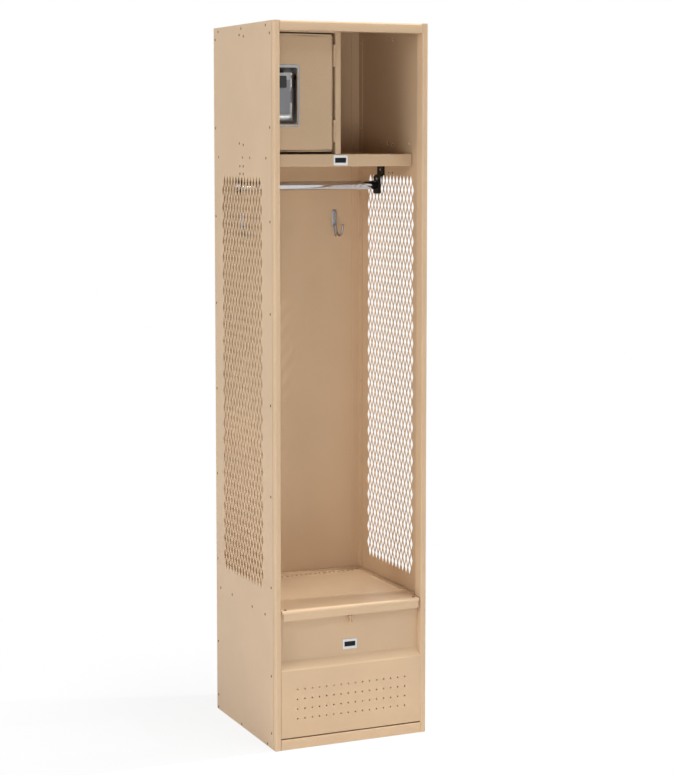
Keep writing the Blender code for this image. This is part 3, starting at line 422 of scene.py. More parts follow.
def two_tone(tree, amount, colour, dark, light, low=0.3, high=0.7):
    """A colour from its dark to its light shade, as the amount goes from low to high."""
    share = add_node(
        tree, "ShaderNodeMapRange", {"Value": amount, "From Min": low, "From Max": high}
    )
    shades = [(*(min(c * level, 1.0) for c in colour), 1.0) for level in (dark, light)]
    return add_node(
        tree, "ShaderNodeMix", {0: share.outputs["Result"], 6: shades[0], 7: shades[1]},
        data_type="RGBA",
    ).outputs[2]


def tie(tree, shader, tone, amount, rough, height, relief, span=(0.0, 1.0), under=None):
    """Lead a finish's tone, gloss and relief to its shader. The gloss follows the
    amount over its span; the relief is a strength and a depth."""
    gloss = add_node(
        tree, "ShaderNodeMapRange",
        {"Value": amount, "From Min": span[0], "From Max": span[1],
         "To Min": rough[0], "To Max": rough[1]},
    )
    form = {"Height": height, "Strength": relief[0], "Distance": relief[1]}
    if under:
        form["Normal"] = under
    bump = add_node(tree, "ShaderNodeBump", form)
    tree.links.new(tone, shader.inputs["Base Color"])
    tree.links.new(gloss.outputs["Result"], shader.inputs["Roughness"])
    tree.links.new(bump.outputs["Normal"], shader.inputs["Normal"])


def powder_coat(name, colour, rough=(0.28, 0.36), peel=2.2 * MM):
    """Polyester powder, sprayed dry on steel sheet and baked: one even satin skin
    with a soft orange peel, so a lamp shows in it as a broad dull glow."""
    made, tree, shader, spots = surface(name, specular=0.15)
    # The film's thickness drifts over 200 mm or so, and its tone with it
    drift = add_node(
        tree, "ShaderNodeTexNoise", {"Vector": spots, "Scale": 1 / 0.2, "Detail": 3.0}
    )
    tone = two_tone(tree, drift.outputs["Fac"], colour, 0.965, 1.03)
    # Pigment grains are a tenth of a millimetre; drawn at 1.6 mm so that they show
    grain = add_node(
        tree, "ShaderNodeTexNoise", {"Vector": spots, "Scale": 1 / (1.6 * MM), "Detail": 2.0}
    )
    speck = two_tone(tree, grain.outputs["Fac"], (1, 1, 1), 0.93, 1.0)
    mixed = add_node(
        tree, "ShaderNodeMix", {0: 1.0, 6: tone, 7: speck}, data_type="RGBA",
        blend_type="MULTIPLY",
    )
    # Hands and cloths polish it in long faint smears, some 60 mm across
    smear = add_node(
        tree, "ShaderNodeTexNoise",
        {"Vector": spots, "Scale": 1 / 0.06, "Detail": 5.0, "Roughness": 0.6,
         "Distortion": 0.6},
    )
    skin = add_node(
        tree, "ShaderNodeTexNoise", {"Vector": spots, "Scale": 1 / peel, "Detail": 1.0}
    )
    fine = add_node(
        tree, "ShaderNodeBump",
        {"Height": skin.outputs["Fac"], "Strength": 0.10, "Distance": 0.25 * MM},
    )
    # Sheet is never quite flat: slow waves some 90 mm long bend what it reflects
    wave = add_node(
        tree, "ShaderNodeTexNoise", {"Vector": spots, "Scale": 1 / 0.09, "Detail": 0.0}
    )
    tie(tree, shader, mixed.outputs[2], smear.outputs["Fac"], rough, wave.outputs["Fac"],
        (0.25, 0.9 * MM), span=(0.3, 0.7), under=fine.outputs["Normal"])
    return made


def brushed_steel(name, colour, rough=(0.22, 0.36), line=0.9 * MM, run=45 * MM):
    """Stainless steel sheet, brushed with a fine belt before it was drawn: long thin
    scratches that run upright and stretch every highlight across them."""
    made, tree, shader, spots = surface(name, metallic=1.0)
    # Belt scratches are 0.05 mm wide; drawn 0.6 to 0.9 mm wide so that they show
    stretched = add_node(
        tree, "ShaderNodeMapping", {"Vector": spots, "Scale": (1 / line, 1 / line, 1 / run)}
    )
    scratch = add_node(
        tree, "ShaderNodeTexNoise",
        {"Vector": stretched.outputs["Vector"], "Scale": 1.0, "Detail": 4.0, "Roughness": 0.65},
    ).outputs["Fac"]
    tone = two_tone(tree, scratch, colour, 0.82, 1.08)
    tie(tree, shader, tone, scratch, rough, scratch, (0.12, 0.08 * MM))
    return made


def plated(name, colour, rough, mottle, relief):
    """Steel with an electroplated skin. mottle is the size of its clouding: bright
    chrome is almost even, while zinc is clouded where the bath left it thicker."""
    made, tree, shader, spots = surface(name, metallic=1.0)
    cloud = add_node(
        tree, "ShaderNodeTexNoise",
        {"Vector": spots, "Scale": 1 / mottle, "Detail": 4.0, "Roughness": 0.6},
    ).outputs["Fac"]
    tone = two_tone(tree, cloud, colour, 0.90, 1.05)
    pits = add_node(
        tree, "ShaderNodeTexNoise", {"Vector": spots, "Scale": 1 / (3 * MM), "Detail": 2.0}
    ).outputs["Fac"]
    tie(tree, shader, tone, cloud, rough, pits, (0.08, relief))
    return made


def moulded(name, colour, rough, texture, ior):
    """Plastic or rubber moulded against a spark-eroded steel face, which leaves a
    fine even pitting and a dull surface."""
    made, tree, shader, spots = surface(name, ior=ior)
    pits = add_node(
        tree, "ShaderNodeTexVoronoi", {"Vector": spots, "Scale": 1 / texture}
    ).outputs["Distance"]
    tone = two_tone(tree, pits, colour, 0.8, 1.25, low=0.0, high=0.9)
    tie(tree, shader, tone, pits, rough, pits, (0.2, 0.05 * MM))
    return made


# How each finish is made, the colour that it takes, and its settings
FINISHES = {
    "powder_coat": (powder_coat, "coat", {}),
    "black_coat": (powder_coat, "black", {"rough": (0.32, 0.45)}),
    # The screw finish's dark brown is partly painted shade of the holes round the sunk heads.
    "brown_screw": (powder_coat, "screw", {"rough": (0.35, 0.5), "peel": 1.2 * MM}),
    "stainless": (brushed_steel, "stainless", {}),
    "trigger": (brushed_steel, "trigger", {"rough": (0.34, 0.46)}),
    "plate": (brushed_steel, "plate", {"rough": (0.3, 0.42), "line": 0.6 * MM, "run": 20 * MM}),
    "plate_field": (powder_coat, "field", {"rough": (0.25, 0.35)}),
    "chrome": (plated, "chrome",
               {"rough": (0.06, 0.13), "mottle": 40 * MM, "relief": 0.02 * MM}),
    "zinc": (plated, "zinc", {"rough": (0.28, 0.42), "mottle": 9 * MM, "relief": 0.06 * MM}),
    "nylon": (moulded, "nylon", {"rough": (0.42, 0.58), "texture": 0.9 * MM, "ior": 1.53}),
    "rubber": (moulded, "rubber", {"rough": (0.7, 0.85), "texture": 1.1 * MM, "ior": 1.52}),
}


def finish(word):
    """The named finish, made the first time that it is asked for."""
    name = f"locker_{word}"
    if name not in bpy.data.materials:
        make, colour, settings = FINISHES[word]
        make(name, getattr(bpy.context.scene.locker_colours, colour), **settings)
    return bpy.data.materials[name]


def carry_over(node, word, edge):
    """A CAD node whose form is right: its own finish and broken edges."""
    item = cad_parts[node]
    for holder in item.material_slots:
        holder.material = finish(word)
    if not item.material_slots:
        item.data.materials.append(finish(word))
    item.modifiers.new("one skin", "WELD").merge_threshold = 0.005 * MM
    break_edges(item, edge)


# Settings that a user would change

def length_of(name, words, size, low, high):
    """A length in millimetres, with the least and the most that it can be."""
    return FloatProperty(
        name=name, description=words, default=size * MM, min=low * MM, max=high * MM,
        unit="LENGTH",
    )


def count_of(name, words, count, low, high):
    return IntProperty(name=name, description=words, default=count, min=low, max=high)


def share_of(name, words, share):
    return FloatProperty(
        name=name, description=words, default=share, min=0.4, max=0.85, subtype="FACTOR"
    )


def power_of(name, words, watts):
    return FloatProperty(name=name, description=words, default=watts, min=0, unit="POWER")


def colour_of(name, words, code):
    return FloatVectorProperty(
        name=name, description=words, default=linear(code), min=0, max=1, size=3,
        subtype="COLOR",
    )


class LockerSizes(PropertyGroup):
    bend: length_of("Bend radius", "Outer radius of the tight folds", 2.5, 1.6, 5)
    corner: length_of(
        "Front corner radius", "Outer radius of the stiles and the top rail", 6, 3, 10
    )
    edge: length_of("Broken edge", "How far cut edges are deburred", 0.25, 0.05, 0.5)
    diamond_columns: count_of(
        "Diamonds across", "Diamonds in a full row of the side panels", 14, 7, 20
    )
    diamond_rows: count_of(
        "Rows of diamonds", "Rows from the seat up to the hat shelf", 47, 24, 60
    )
    diamond_wide: share_of("Diamond width", "Share of the pitch that is open", 0.74)
    diamond_tall: share_of("Diamond height", "Share of two rows that is open", 0.75)
    vent_radius: length_of(
        "Vent radius", "Radius of the holes in the foot locker's front", 2.0, 1, 5
    )
    screw_radius: length_of(
        "Screw radius", "Radius of the flush sheet-metal screws", 3.8, 1.5, 4
    )
    seat_knuckles: count_of(
        "Seat hinge knuckles", "Knuckles along the continuous hinge", 51, 11, 61
    )


class LockerColours(PropertyGroup):
    coat: colour_of("Powder coat", "Tan skin of all the sheet steel", "#D4B796")
    black: colour_of("Black coat", "Skin of the rod brackets", "#0F0F0F")
    # The screws' dark brown is partly their own paint and partly painted shade: it stands for the
    # shade in the holes round their sunk heads.
    screw: colour_of("Screws", "Painted heads of the flush screws", "#6A4F38")
    stainless: colour_of("Stainless", "Drawn sheet of the handle cup", "#A09F9E")
    trigger: colour_of("Trigger", "Duller stainless of the lift trigger", "#7E7E80")
    chrome: colour_of("Chrome", "Plating of the coat rod", "#C8C8CC")
    zinc: colour_of("Zinc", "Plating of hooks, latch and pins", "#9C9B9F")
    nylon: colour_of("Nylon", "Block on the trigger", "#0D0D0E")
    rubber: colour_of("Rubber", "Studs in the seat", "#3A2F27")
    plate: colour_of("Plate", "Aluminium of the number plates", "#DADADC")
    field: colour_of("Plate field", "Enamel in the middle of the plates", "#1D1C1C")
    floor: colour_of("Floor", "Pale paper under the locker", "#F2F2F2")


class LockerStage(PropertyGroup):
    camera_place: FloatVectorProperty(
        name="Camera", description="Where the camera stands",
        default=(-2.1815, -5.0776, 1.6659), size=3, subtype="TRANSLATION", unit="LENGTH",
    )
    camera_turn: FloatVectorProperty(
        name="Camera turn", description="How the camera is turned",
        default=(math.pi / 2 - 0.0907, 0, -0.4152), size=3, subtype="EULER", unit="ROTATION",
    )
    camera_lens: FloatProperty(
        name="Lens", description="Focal length on a 36 mm frame", default=91.05, min=20, max=300
    )
    camera_shift: FloatProperty(
        name="Shift", description="Upright shift that frames the locker", default=-0.09
    )
    key: power_of("Key lamp", "Power of the lamp on the left", 110)
    fill: power_of("Front lamp", "Power of the lamp in front", 76)
    top: power_of("Top lamp", "Power of the lamp above and before the locker", 330)
    glint: power_of("Glint lamp", "Power of the small lamp that draws lines on the bends", 14)
    side: power_of("Side lamp", "Power of the lamp that shines through the right side", 75)
    sky: FloatProperty(
        name="Room light", description="Strength of the even light from all round",
        default=0.25, min=0, max=2,
    )


# Front frame and side panels

class LOCKER_OT_front_frame(Operator):
    """Two formed stiles with rounded outer corners, and the rails between them"""

    bl_idname = "locker.front_frame"
    bl_label = "Front frame"

    def execute(self, context):
        sizes = context.scene.locker_sizes
        seam, fold_end = FRONT + 14 * MM, FRONT + 36 * MM
        lap_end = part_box("stile_right")[1].y
        radii = [sizes.bend, sizes.corner, 0, 0]
        path = [
            (OPEN_HALF, fold_end), (OPEN_HALF, FRONT), (HALF, FRONT), (HALF, seam),
            (LINE, seam + 2 * MM), (LINE, lap_end),
        ]
        outline = folded(path, radii, SHEET, 1)
        wide, near, chamfer = HALF - SHEET - HAIR, FRONT + SHEET + HAIR, 4.3 * MM
        behind = [
            (-wide, lap_end + MM), (-wide, near + chamfer), (chamfer - wide, near),
            (wide - chamfer, near), (wide, near + chamfer), (wide, lap_end + MM),
        ]
        across = oblong(-HALF - MM, HALF + MM, seam, lap_end + MM)
        for word, shape in (("right", outline), ("left", mirrored(outline))):
            item = prism(f"formed_stile_{word}", shape, "z", 0, HEIGHT)
            for tool in (behind, across):
                cut(item, prism("stile_tool", tool, "z", CEILING, HEIGHT + MM))
            dress(item, nodes=[f"stile_{word}"], edge=sizes.edge)
        reach = OPEN_HALF - FIT
        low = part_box("top_rail")[0].z
        path = [
            (fold_end, low), (FRONT, low), (FRONT, HEIGHT), (seam, HEIGHT),
            (seam + 2 * MM, CEILING), (lap_end, CEILING),
        ]
        rail = bent_sheet("formed_top_rail", path, radii, -1, "x", -reach, reach)
        near, far = FRONT + SHEET + FIT, seam - FIT
        ear = [
            (reach - 4 * MM, near), (LINE - sizes.corner, near), (LINE, near + sizes.corner),
            (LINE, far), (reach - 4 * MM, far),
        ]
        for shape in (ear, mirrored(ear)):
            joined(rail, prism("ear", shape, "z", HEIGHT - SHEET, HEIGHT - HAIR))
        dress(rail, nodes=["top_rail"], edge=sizes.edge)
        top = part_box("bottom_rail")[1].z
        path = [(fold_end, 0), (FRONT, 0), (FRONT, top), (FRONT + 10 * MM, top)]
        rail = bent_sheet("formed_bottom_rail", path, [sizes.bend] * 2, -1, "x", -reach, reach)
        dress(rail, nodes=["bottom_rail"], edge=sizes.edge)
        return {"FINISHED"}


# Heights of the screws along each upright
ROWS = (43, 203, 449, 700, 949, 1197, 1446, 1698, 1948)
# Depth from the front and height of each screw in a side panel, in mm
SIDE_SCREWS = [
    *((d, z) for d in (30, 446) for z in ROWS),
    (59, 1970), (241, 1970), (422, 1970), (60, 6), (258, 6), (447, 6),
    (255, 1953), (223, 1948), (257, 1655), (226, 1651),
    *((d, 1616) for d in (58, 178, 234, 422)),
    *((d, z) for d in (228, 253) for z in (1571, 1592)),
    *((d, 366) for d in (75, 172, 330, 424)),
]
# Place across the back and height of each screw in it, in mm
BACK_SCREWS = [
    *((u, z) for u in (-212, 212) for z in ROWS),
    *((u, z) for u in (-120, 0, 120) for z in (1616, 1970)),
    *((u, 372) for u in (-120, 120)),
]


def diamond(u, v, wide, tall):
    """A diamond cut-out with slightly blunted corners."""
    def outline(grow):
        a, b, c = wide + grow, tall + 2 * grow, 0.07
        return [
            (u + a, v - b * c), (u + a, v + b * c), (u + a * c, v + b), (u - a * c, v + b),
            (u - a, v + b * c), (u - a, v - b * c), (u - a * c, v - b), (u + a * c, v - b),
        ]
    return outline


def round_hole(u, v, radius, steps=24):
    return lambda grow: circle(u, v, radius + grow, steps)


def add_screw(bm, spot, axis, face, out, radius, dome=0.0):
    """A screw head with a cross recess; out is 1 where it faces up the axis."""
    rise = out * dome
    levels = (
        (0.55, -out * 1.1 * MM), (1, -out * 0.12 * MM), (0.93, rise * 0.35), (0.68, rise)
    )
    rings = [
        [bm.verts.new(place(axis, u, v, face + w)) for u, v in circle(*spot, radius * r, 24)]
        for r, w in levels
    ]
    long, thin = radius * 0.52, radius * 0.15
    for drop in (0, 0.5 * MM):
        ring = []
        for k in range(24):
            c, s = (max(abs(f(k * math.pi / 12)), 1e-6) for f in (math.cos, math.sin))
            reach = max(min(long / c, thin / s), min(thin / c, long / s))
            u, v = circle(*spot, reach, 24)[k]
            ring.append(bm.verts.new(place(axis, u, v, face + rise - out * drop)))
        rings.append(ring)
    join_rings(bm, rings)


def screwed_sheet(name, node, screws, outline, holes, spots, axis, face, back, radius):
    """A pierced sheet, and the painted screws that sit flush in its outer face; their dark brown
    is partly painted shade of the holes round their sunk heads.
    """
    rims = [round_hole(u, v, radius + 0.25 * MM) for u, v in spots]
    item = pierced_sheet(name, outline, holes + rims, axis, face, back, 0.2 * MM)
    dress(item, nodes=[node])
    bm = bmesh.new()
    out = math.copysign(1, face)
    for spot in spots:
        add_screw(bm, spot, axis, face - out * SUNK, out, radius)
    dress(object_from(bm, screws), "brown_screw")


class LOCKER_OT_side_panels(Operator):
    """Both side panels with their field of diamond cut-outs and flush screws"""

    bl_idname = "locker.side_panels"
    bl_label = "Mesh side panels"

    def execute(self, context):
        sizes = context.scene.locker_sizes
        low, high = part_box("side_panel_right")
        left, right = FRONT + 87 * MM, FRONT + 395 * MM
        bottom, top = SEAT_TOP + 43 * MM, SHELF_BOTTOM - 26 * MM
        columns, rows = sizes.diamond_columns, sizes.diamond_rows
        pitch = (right - left) / (columns - 1 + sizes.diamond_wide)
        wide = pitch * sizes.diamond_wide / 2
        step = (top - bottom) / (rows - 1 + 2 * sizes.diamond_tall)
        tall = step * sizes.diamond_tall
        holes = []
        for row in range(rows):
            offset = row % 2 == 0
            v = bottom + tall + row * step
            for column in range(columns - 1 if offset else columns):
                u = left + wide + column * pitch + (pitch / 2 if offset else 0)
                holes.append(diamond(u, v, wide, tall))
        spots = [(FRONT + d * MM, z * MM) for d, z in SIDE_SCREWS]
        outline = oblong(low.y, high.y, 0, HEIGHT)
        for word, side in (("right", 1), ("left", -1)):
            screwed_sheet(
                f"mesh_side_{word}", f"side_panel_{word}", f"side_screws_{word}", outline,
                holes, spots, "x", side * HALF, side * WALL, sizes.screw_radius,
            )
        return {"FINISHED"}


# Carcass

class LOCKER_OT_carcass(Operator):
    """Back panel with flush screws, and the hidden sheet pieces of the carcass"""

    bl_idname = "locker.carcass"
    bl_label = "Carcass"

    def execute(self, context):
        sizes = context.scene.locker_sizes
        low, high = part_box("back_panel")
        spots = [(u * MM, z * MM) for u, z in BACK_SCREWS]
        outline = oblong(low.x, high.x, low.z, high.z)
        screwed_sheet("flat_back", "back_panel", "back_screws", outline, [], spots, "y", BACK,
                      BACK - SHEET, sizes.screw_radius)
        for node in (
            "rear_upright_left", "rear_upright_right", "top_panel", "base_pan",
            "seat_ledge_left", "seat_ledge_right", "seat_rear_strip",
        ):
            carry_over(node, "powder_coat", sizes.edge)
        return {"FINISHED"}


# Hat shelf and box

class LOCKER_OT_hat_shelf(Operator):
    """The hat shelf: a pan with a deep front face and a lip turned under it"""

    bl_idname = "locker.hat_shelf"
    bl_label = "Hat shelf"

    def execute(self, context):
        sizes = context.scene.locker_sizes
        flange = 20 * MM
        strip = UPPER_FRONT + 6 * MM
        item = formed_pan(
            "formed_hat_shelf", (-LINE, strip), (LINE, BACK_LINE), SHELF_TOP,
            {"high_u": flange, "high_v": flange, "low_u": flange}, "z", -1, sizes.bend,
        )
        # Its rear corners are cut out round the rear uprights
        out, leg, web = LINE + MM, LINE - 26 * MM, LINE - 2.1 * MM
        rear, start, near = BACK_LINE + MM, BACK_LINE - 26 * MM, BACK_LINE - 2.1 * MM
        corner = [(out, start), (out, rear), (leg, rear), (leg, near), (web, near), (web, start)]
        for shape in (mirrored(corner), corner):
            cut(item, prism("upright_tool", shape, "z", SHELF_BOTTOM, HEIGHT))
        path = [
            (UPPER_FRONT + 12 * MM, SHELF_BOTTOM), (UPPER_FRONT, SHELF_BOTTOM),
            (UPPER_FRONT, SHELF_TOP), (strip, SHELF_TOP),
        ]
        reach = LINE - 3 * MM
        joined(item, bent_sheet("shelf_face", path, [sizes.bend] * 2, -1, "x", -reach, reach))
        dress(item, nodes=["hat_shelf"], edge=sizes.edge)
        return {"FINISHED"}


class LOCKER_OT_box_frame(Operator):
    """The hinge post and what frames the box: header, jamb, divider and strike"""

    bl_idname = "locker.box_frame"
    bl_label = "Box frame"

    def execute(self, context):
        sizes = context.scene.locker_sizes
        low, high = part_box("hinge_post")
        path = [(low.x, high.y), (low.x, low.y), (high.x, low.y), (high.x, high.y)]
        post = bent_sheet("formed_hinge_post", path, [sizes.bend] * 2, 1, "z", low.z, high.z)
        dress(post, nodes=["hinge_post"], edge=sizes.edge)
        low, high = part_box("box_header")
        path = [(high.y, low.z), (low.y, low.z), (low.y, high.z)]
        header = bent_sheet("formed_box_header", path, [sizes.bend], -1, "x", low.x, high.x)
        dress(header, nodes=["box_header"], edge=sizes.edge)
        for node in ("latch_jamb", "divider_panel"):
            carry_over(node, "powder_coat", sizes.edge)
        carry_over("latch_strike", "zinc", sizes.edge)
        return {"FINISHED"}


class LOCKER_OT_box_door(Operator):
    """The box door: a formed pan with an opening for the handle cup"""

    bl_idname = "locker.box_door"
    bl_label = "Box door"

    def execute(self, context):
        sizes = context.scene.locker_sizes
        low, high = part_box("box_door")
        depth = high.y - low.y
        pan = formed_pan(
            "formed_box_door", (low.x, low.z), (high.x, high.z), low.y,
            {side: depth for side in ("low_v", "high_u", "high_v", "low_u")},
            "y", 1, 4 * MM, notch=4.6 * MM,
        )
        near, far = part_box("handle_cup")
        margin = 7 * MM
        opening = rounded_rectangle(
            near.x + margin, near.z + margin, far.x - margin, far.z - margin, margin
        )
        cut(pan, prism("cup_opening_tool", opening, "y", low.y - MM, low.y + 5 * MM))
        dress(pan, "powder_coat", "box_door", ["box_door"], sizes.edge)
        return {"FINISHED"}


def add_leaf(bm, axis, spans, ends, plate, web, spot):
    """A hinge leaf: a plate whose edge carries rolled knuckles round the pin."""
    add_prism(bm, plate, axis, *ends)
    for start, end in spans:
        add_prism(bm, web, axis, start, end)
        form = ((1.3, 0.5), (1.1, 0), (0.35, 0), (0, 0.35))
        add_turned(bm, both_ends(BARREL, start, end, form), spot, axis)


def knuckles(start, end, count, odd, play=0.5 * MM):
    """Ends of every other knuckle along a barrel, with play between neighbours."""
    step = (end - start) / count
    picked = range(1, count, 2) if odd else range(0, count, 2)
    return [(start + k * step + play / 2, start + (k + 1) * step - play / 2) for k in picked]


class LOCKER_OT_door_hinges(Operator):
    """Both knuckle hinges of the box door, with their pins"""

    bl_idname = "locker.door_hinges"
    bl_label = "Door hinges"

    def execute(self, context):
        for word in ("lower", "upper"):
            low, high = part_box(f"box_hinge_fixed_{word}")
            spot = (high.x - 3.5 * MM, low.y + BARREL)
            ends, rear = (low.z, high.z), high.y
            for kind, odd, x0, body in (
                ("fixed", False, high.x - LEAF, "cabinet"),
                ("moving", True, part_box(f"box_hinge_moving_{word}")[0].x, "box_door"),
            ):
                bm = bmesh.new()
                plate = oblong(x0, x0 + LEAF, spot[1] + CLEAR, rear)
                web = oblong(x0, x0 + LEAF, spot[1], rear)
                add_leaf(bm, "z", knuckles(*ends, 5, odd), ends, plate, web, spot)
                node = f"box_hinge_{kind}_{word}"
                dress(object_from(bm, f"rolled_{node}"), "powder_coat", body, [node], 0.15 * MM)
            node = f"box_hinge_pin_{word}"
            low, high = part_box(node)
            bm = bmesh.new()
            form = ((0.5, 0), (0, 0.3))
            add_turned(bm, both_ends(1.4 * MM, low.z, high.z, form), spot, "z")
            dress(object_from(bm, f"turned_pin_{word}"), "zinc", nodes=[node], smooth=180)
        return {"FINISHED"}


# Handle and latch

def cup_rings(low, high, proud, floor, flange_back):
    """Loops of points from the rim's outer edge over the rim and down to the floor."""
    # Width of the rim and of the slope, radius at the floor and run of floor, in mm;
    # the lower side is a scoop for the fingers
    forms = {
        "left": (4, 5, 6, 6), "right": (4, 10, 6, 6), "top": (7, 13, 6, 6),
        "bottom": (3, 16, 30, 16),
    }
    lines = {}
    for side, form in forms.items():
        rim, slope, floor_radius, floor_run = [size * MM for size in form]
        path = [
            (0, flange_back), (0, proud), (rim, proud), (rim + slope, floor),
            (rim + slope + floor_run, floor),
        ]
        lines[side] = rounded_path(path, [1.6 * MM, 2.4 * MM, floor_radius], 8)
    loops = []
    steps = 8
    for k in range(len(lines["left"])):
        inset = {side: line[k][0] for side, line in lines.items()}
        depth = {side: line[k][1] for side, line in lines.items()}
        u0, u1 = low.x + inset["left"], high.x - inset["right"]
        v0, v1 = low.z + inset["bottom"], high.z - inset["top"]
        radius = max(10 * MM - 0.5 * min(inset.values()), 3.5 * MM)
        outline = rounded_rectangle(u0, v0, u1, v1, radius, steps)
        turns = [("right", "top"), ("top", "left"), ("left", "bottom"), ("bottom", "right")]
        loop = []
        for i, (u, v) in enumerate(outline):
            before, after = turns[i // (steps + 1)]
            share = (i % (steps + 1)) / steps
            y = depth[before] * (1 - share) + depth[after] * share
            loop.append(Vector((u, y, v)))
        loops.append(loop)
    return loops


class LOCKER_OT_handle(Operator):
    """The drawn stainless cup, the lift trigger with its block, and the latch"""

    bl_idname = "locker.handle"
    bl_label = "Recessed handle and latch"

    def execute(self, context):
        sizes = context.scene.locker_sizes
        low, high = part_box("handle_cup")
        thin = 1 * MM
        floor = high.y - thin
        loops = cup_rings(low, high, low.y, floor, UPPER_FRONT - 1.3 * MM)
        bm = bmesh.new()
        rings = [[bm.verts.new(p) for p in loop] for loop in loops]
        join_rings(bm, rings, caps=False)
        bm.faces.new(rings[-1])
        cup = object_from(bm, "drawn_cup")
        if cup.data.polygons[-1].normal.y > 0:
            cup.data.flip_normals()
        solid = cup.modifiers.new("sheet", "SOLIDIFY")
        solid.thickness = thin
        solid.offset = -1
        settle(cup)
        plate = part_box("lift_trigger")
        # A line just to the right of the trigger, from which the openings are measured
        right = plate[0].x + 43 * MM
        bottom, top = plate[0].z, plate[1].z
        middle = (bottom + top) / 2
        # Left, lower, right and upper edge of each opening, and its corner radius
        for word, (u0, v0, u1, v1), radius in (
            ("link", (0, middle - 17 * MM, 4 * MM, middle + 25 * MM), 1.9 * MM),
            ("slot", (7.6 * MM, bottom + 3 * MM, 9.6 * MM, top + 4 * MM), 0.9 * MM),
            ("eye", (7.1 * MM, top - 2 * MM, 11.6 * MM, top + 14 * MM), 2.1 * MM),
            ("spy_hole", (0.2 * MM, top + 4 * MM, 3.6 * MM, top + 13 * MM), 1.6 * MM),
        ):
            shape = rounded_rectangle(right + u0, v0, right + u1, v1, radius)
            cut(cup, prism(f"cup_{word}_tool", shape, "y", floor - 19 * MM, floor + 3 * MM))
        dress(cup, "stainless", "box_door", ["handle_cup"], smooth=40)

        carry_over("lift_trigger", "trigger", 0.3 * MM)
        near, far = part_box("trigger_block")
        # The moulding overhangs its foot to the right and above the trigger's edge
        near.z += 4 * MM
        far += Vector((10 * MM, 0, 13 * MM))
        bm = bmesh.new()
        add_stepped(bm, near, far, [
            (inset, inset, max(2.4 * MM - inset, 0.6 * MM), y)
            for inset, y in ((0, far.y), (0, near.y + 1.4 * MM), (0.4 * MM, near.y + 0.5 * MM),
                             (1.4 * MM, near.y), (3.2 * MM, near.y + 0.5 * MM))
        ])
        dress(object_from(bm, "moulded_block"), "nylon", "box_latch", ["trigger_block"],
              smooth=180)
        carry_over("latch_bar", "zinc", sizes.edge)
        return {"FINISHED"}


# Coat rod and hooks

class LOCKER_OT_coat_rod(Operator):
    """The chrome coat rod on its two jogged strip brackets"""

    bl_idname = "locker.coat_rod"
    bl_label = "Coat rod"

    def execute(self, context):
        low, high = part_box("coat_rod")
        radius = (high.z - low.z) / 2
        centre = ((low.y + high.y) / 2, (low.z + high.z) / 2)
        form = ((1.6, 30), (1.6, 0.5), (1.1, 0), (0.4, 0), (0, 0.4))
        bm = bmesh.new()
        add_turned(bm, both_ends(radius, low.x, high.x, form), centre, "x", 72)
        dress(object_from(bm, "drawn_rod"), "chrome", nodes=["coat_rod"], smooth=50)

        thick, outer, inner = 3 * MM, LINE, LINE - 12 * MM
        screws = bmesh.new()
        for word, side in (("right", 1), ("left", -1)):
            near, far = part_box(f"rod_bracket_{word}")
            top, bottom = far.z, near.z
            knee = top - 28 * MM
            path = [(outer, top), (outer, knee), (inner, knee - 4 * MM), (inner, bottom)]
            path = [(side * u, v) for u, v in path]
            outline = folded(path, [3 * MM, 4.5 * MM], thick, -side)
            strip = prism(f"jogged_bracket_{word}", outline, "y", near.y, far.y)
            trim = rounded_rectangle(near.y, bottom, far.y, top + 8 * MM, 6 * MM)
            cut(strip, prism("trim_tool", trim, "x", -HALF, HALF), operation="INTERSECT")
            hole = circle(*centre, radius + FIT, 72)
            cut(strip, prism("rod_hole_tool", hole, "x", -HALF, HALF))
            dress(strip, "black_coat", nodes=[f"rod_bracket_{word}"], edge=0.4 * MM)
            for rise, face in ((top - 13 * MM, outer - thick),
                               (centre[1] + 17.5 * MM, inner - thick)):
                add_screw(screws, (centre[0], rise), "x", side * face, -side, 4.4 * MM, 1.8 * MM)
        dress(object_from(screws, "bracket_screws"), "zinc", smooth=40)
        return {"FINISHED"}


class LOCKER_OT_coat_hooks(Operator):
    """Two double-prong hooks, each a forged plate with two ball-ended prongs"""

    bl_idname = "locker.coat_hooks"
    bl_label = "Coat hooks"

    def execute(self, context):
        for word in ("right", "left"):
            low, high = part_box(f"coat_hook_{word}")
            x = (low.x + high.x) / 2
            face = BACK_LINE - 2.5 * MM
            foot = high.z - 52 * MM
            bm = bmesh.new()
            half = 7 * MM
            add_stepped(bm, Vector((x - half, 0, foot)), Vector((x + half, 0, high.z)), [
                (inset, inset, 6.4 * MM - inset, y)
                for inset, y in ((0, BACK_LINE), (0, face + 1.0 * MM),
                                 (0.3 * MM, face + 0.3 * MM), (1.0 * MM, face))
            ])
            # Along each prong: shares of its run to the side, outwards and upwards
            shares = (
                (0.15, 0.00, 0.10), (0.15, 0.16, 0.05), (0.20, 0.36, -0.50),
                (0.45, 0.62, -0.95), (0.80, 0.88, -0.75), (1.00, 1.00, 0.02),
            )
            for side in (-1, 1):
                points = flowing([
                    Vector((x + side * 12 * MM * aside, face + 1 * MM - 35.4 * MM * out,
                            foot + 3 * MM + 28 * MM * up))
                    for aside, out, up in shares
                ])
                radii = [2.6 * MM] * len(points)
                # The last few points swell into a ball and close over it
                end, ball = points[-1], 3.3 * MM
                run = (end - points[-2]).normalized()
                for turn in range(1, 8):
                    angle = math.pi * (0.1 + 0.9 * turn / 7)
                    points.append(end + run * ball * (0.95 - math.cos(angle)))
                    radii.append(max(ball * math.sin(angle), 0.02 * MM))
                add_swept(bm, points, radii)
            for rise in (-9 * MM, -33 * MM):
                add_screw(bm, (x, high.z + rise), "y", face, -1, 3.6 * MM, 1.2 * MM)
            dress(object_from(bm, f"forged_hook_{word}"), "zinc", nodes=[f"coat_hook_{word}"],
                  smooth=45)
        return {"FINISHED"}


# Seat and foot locker

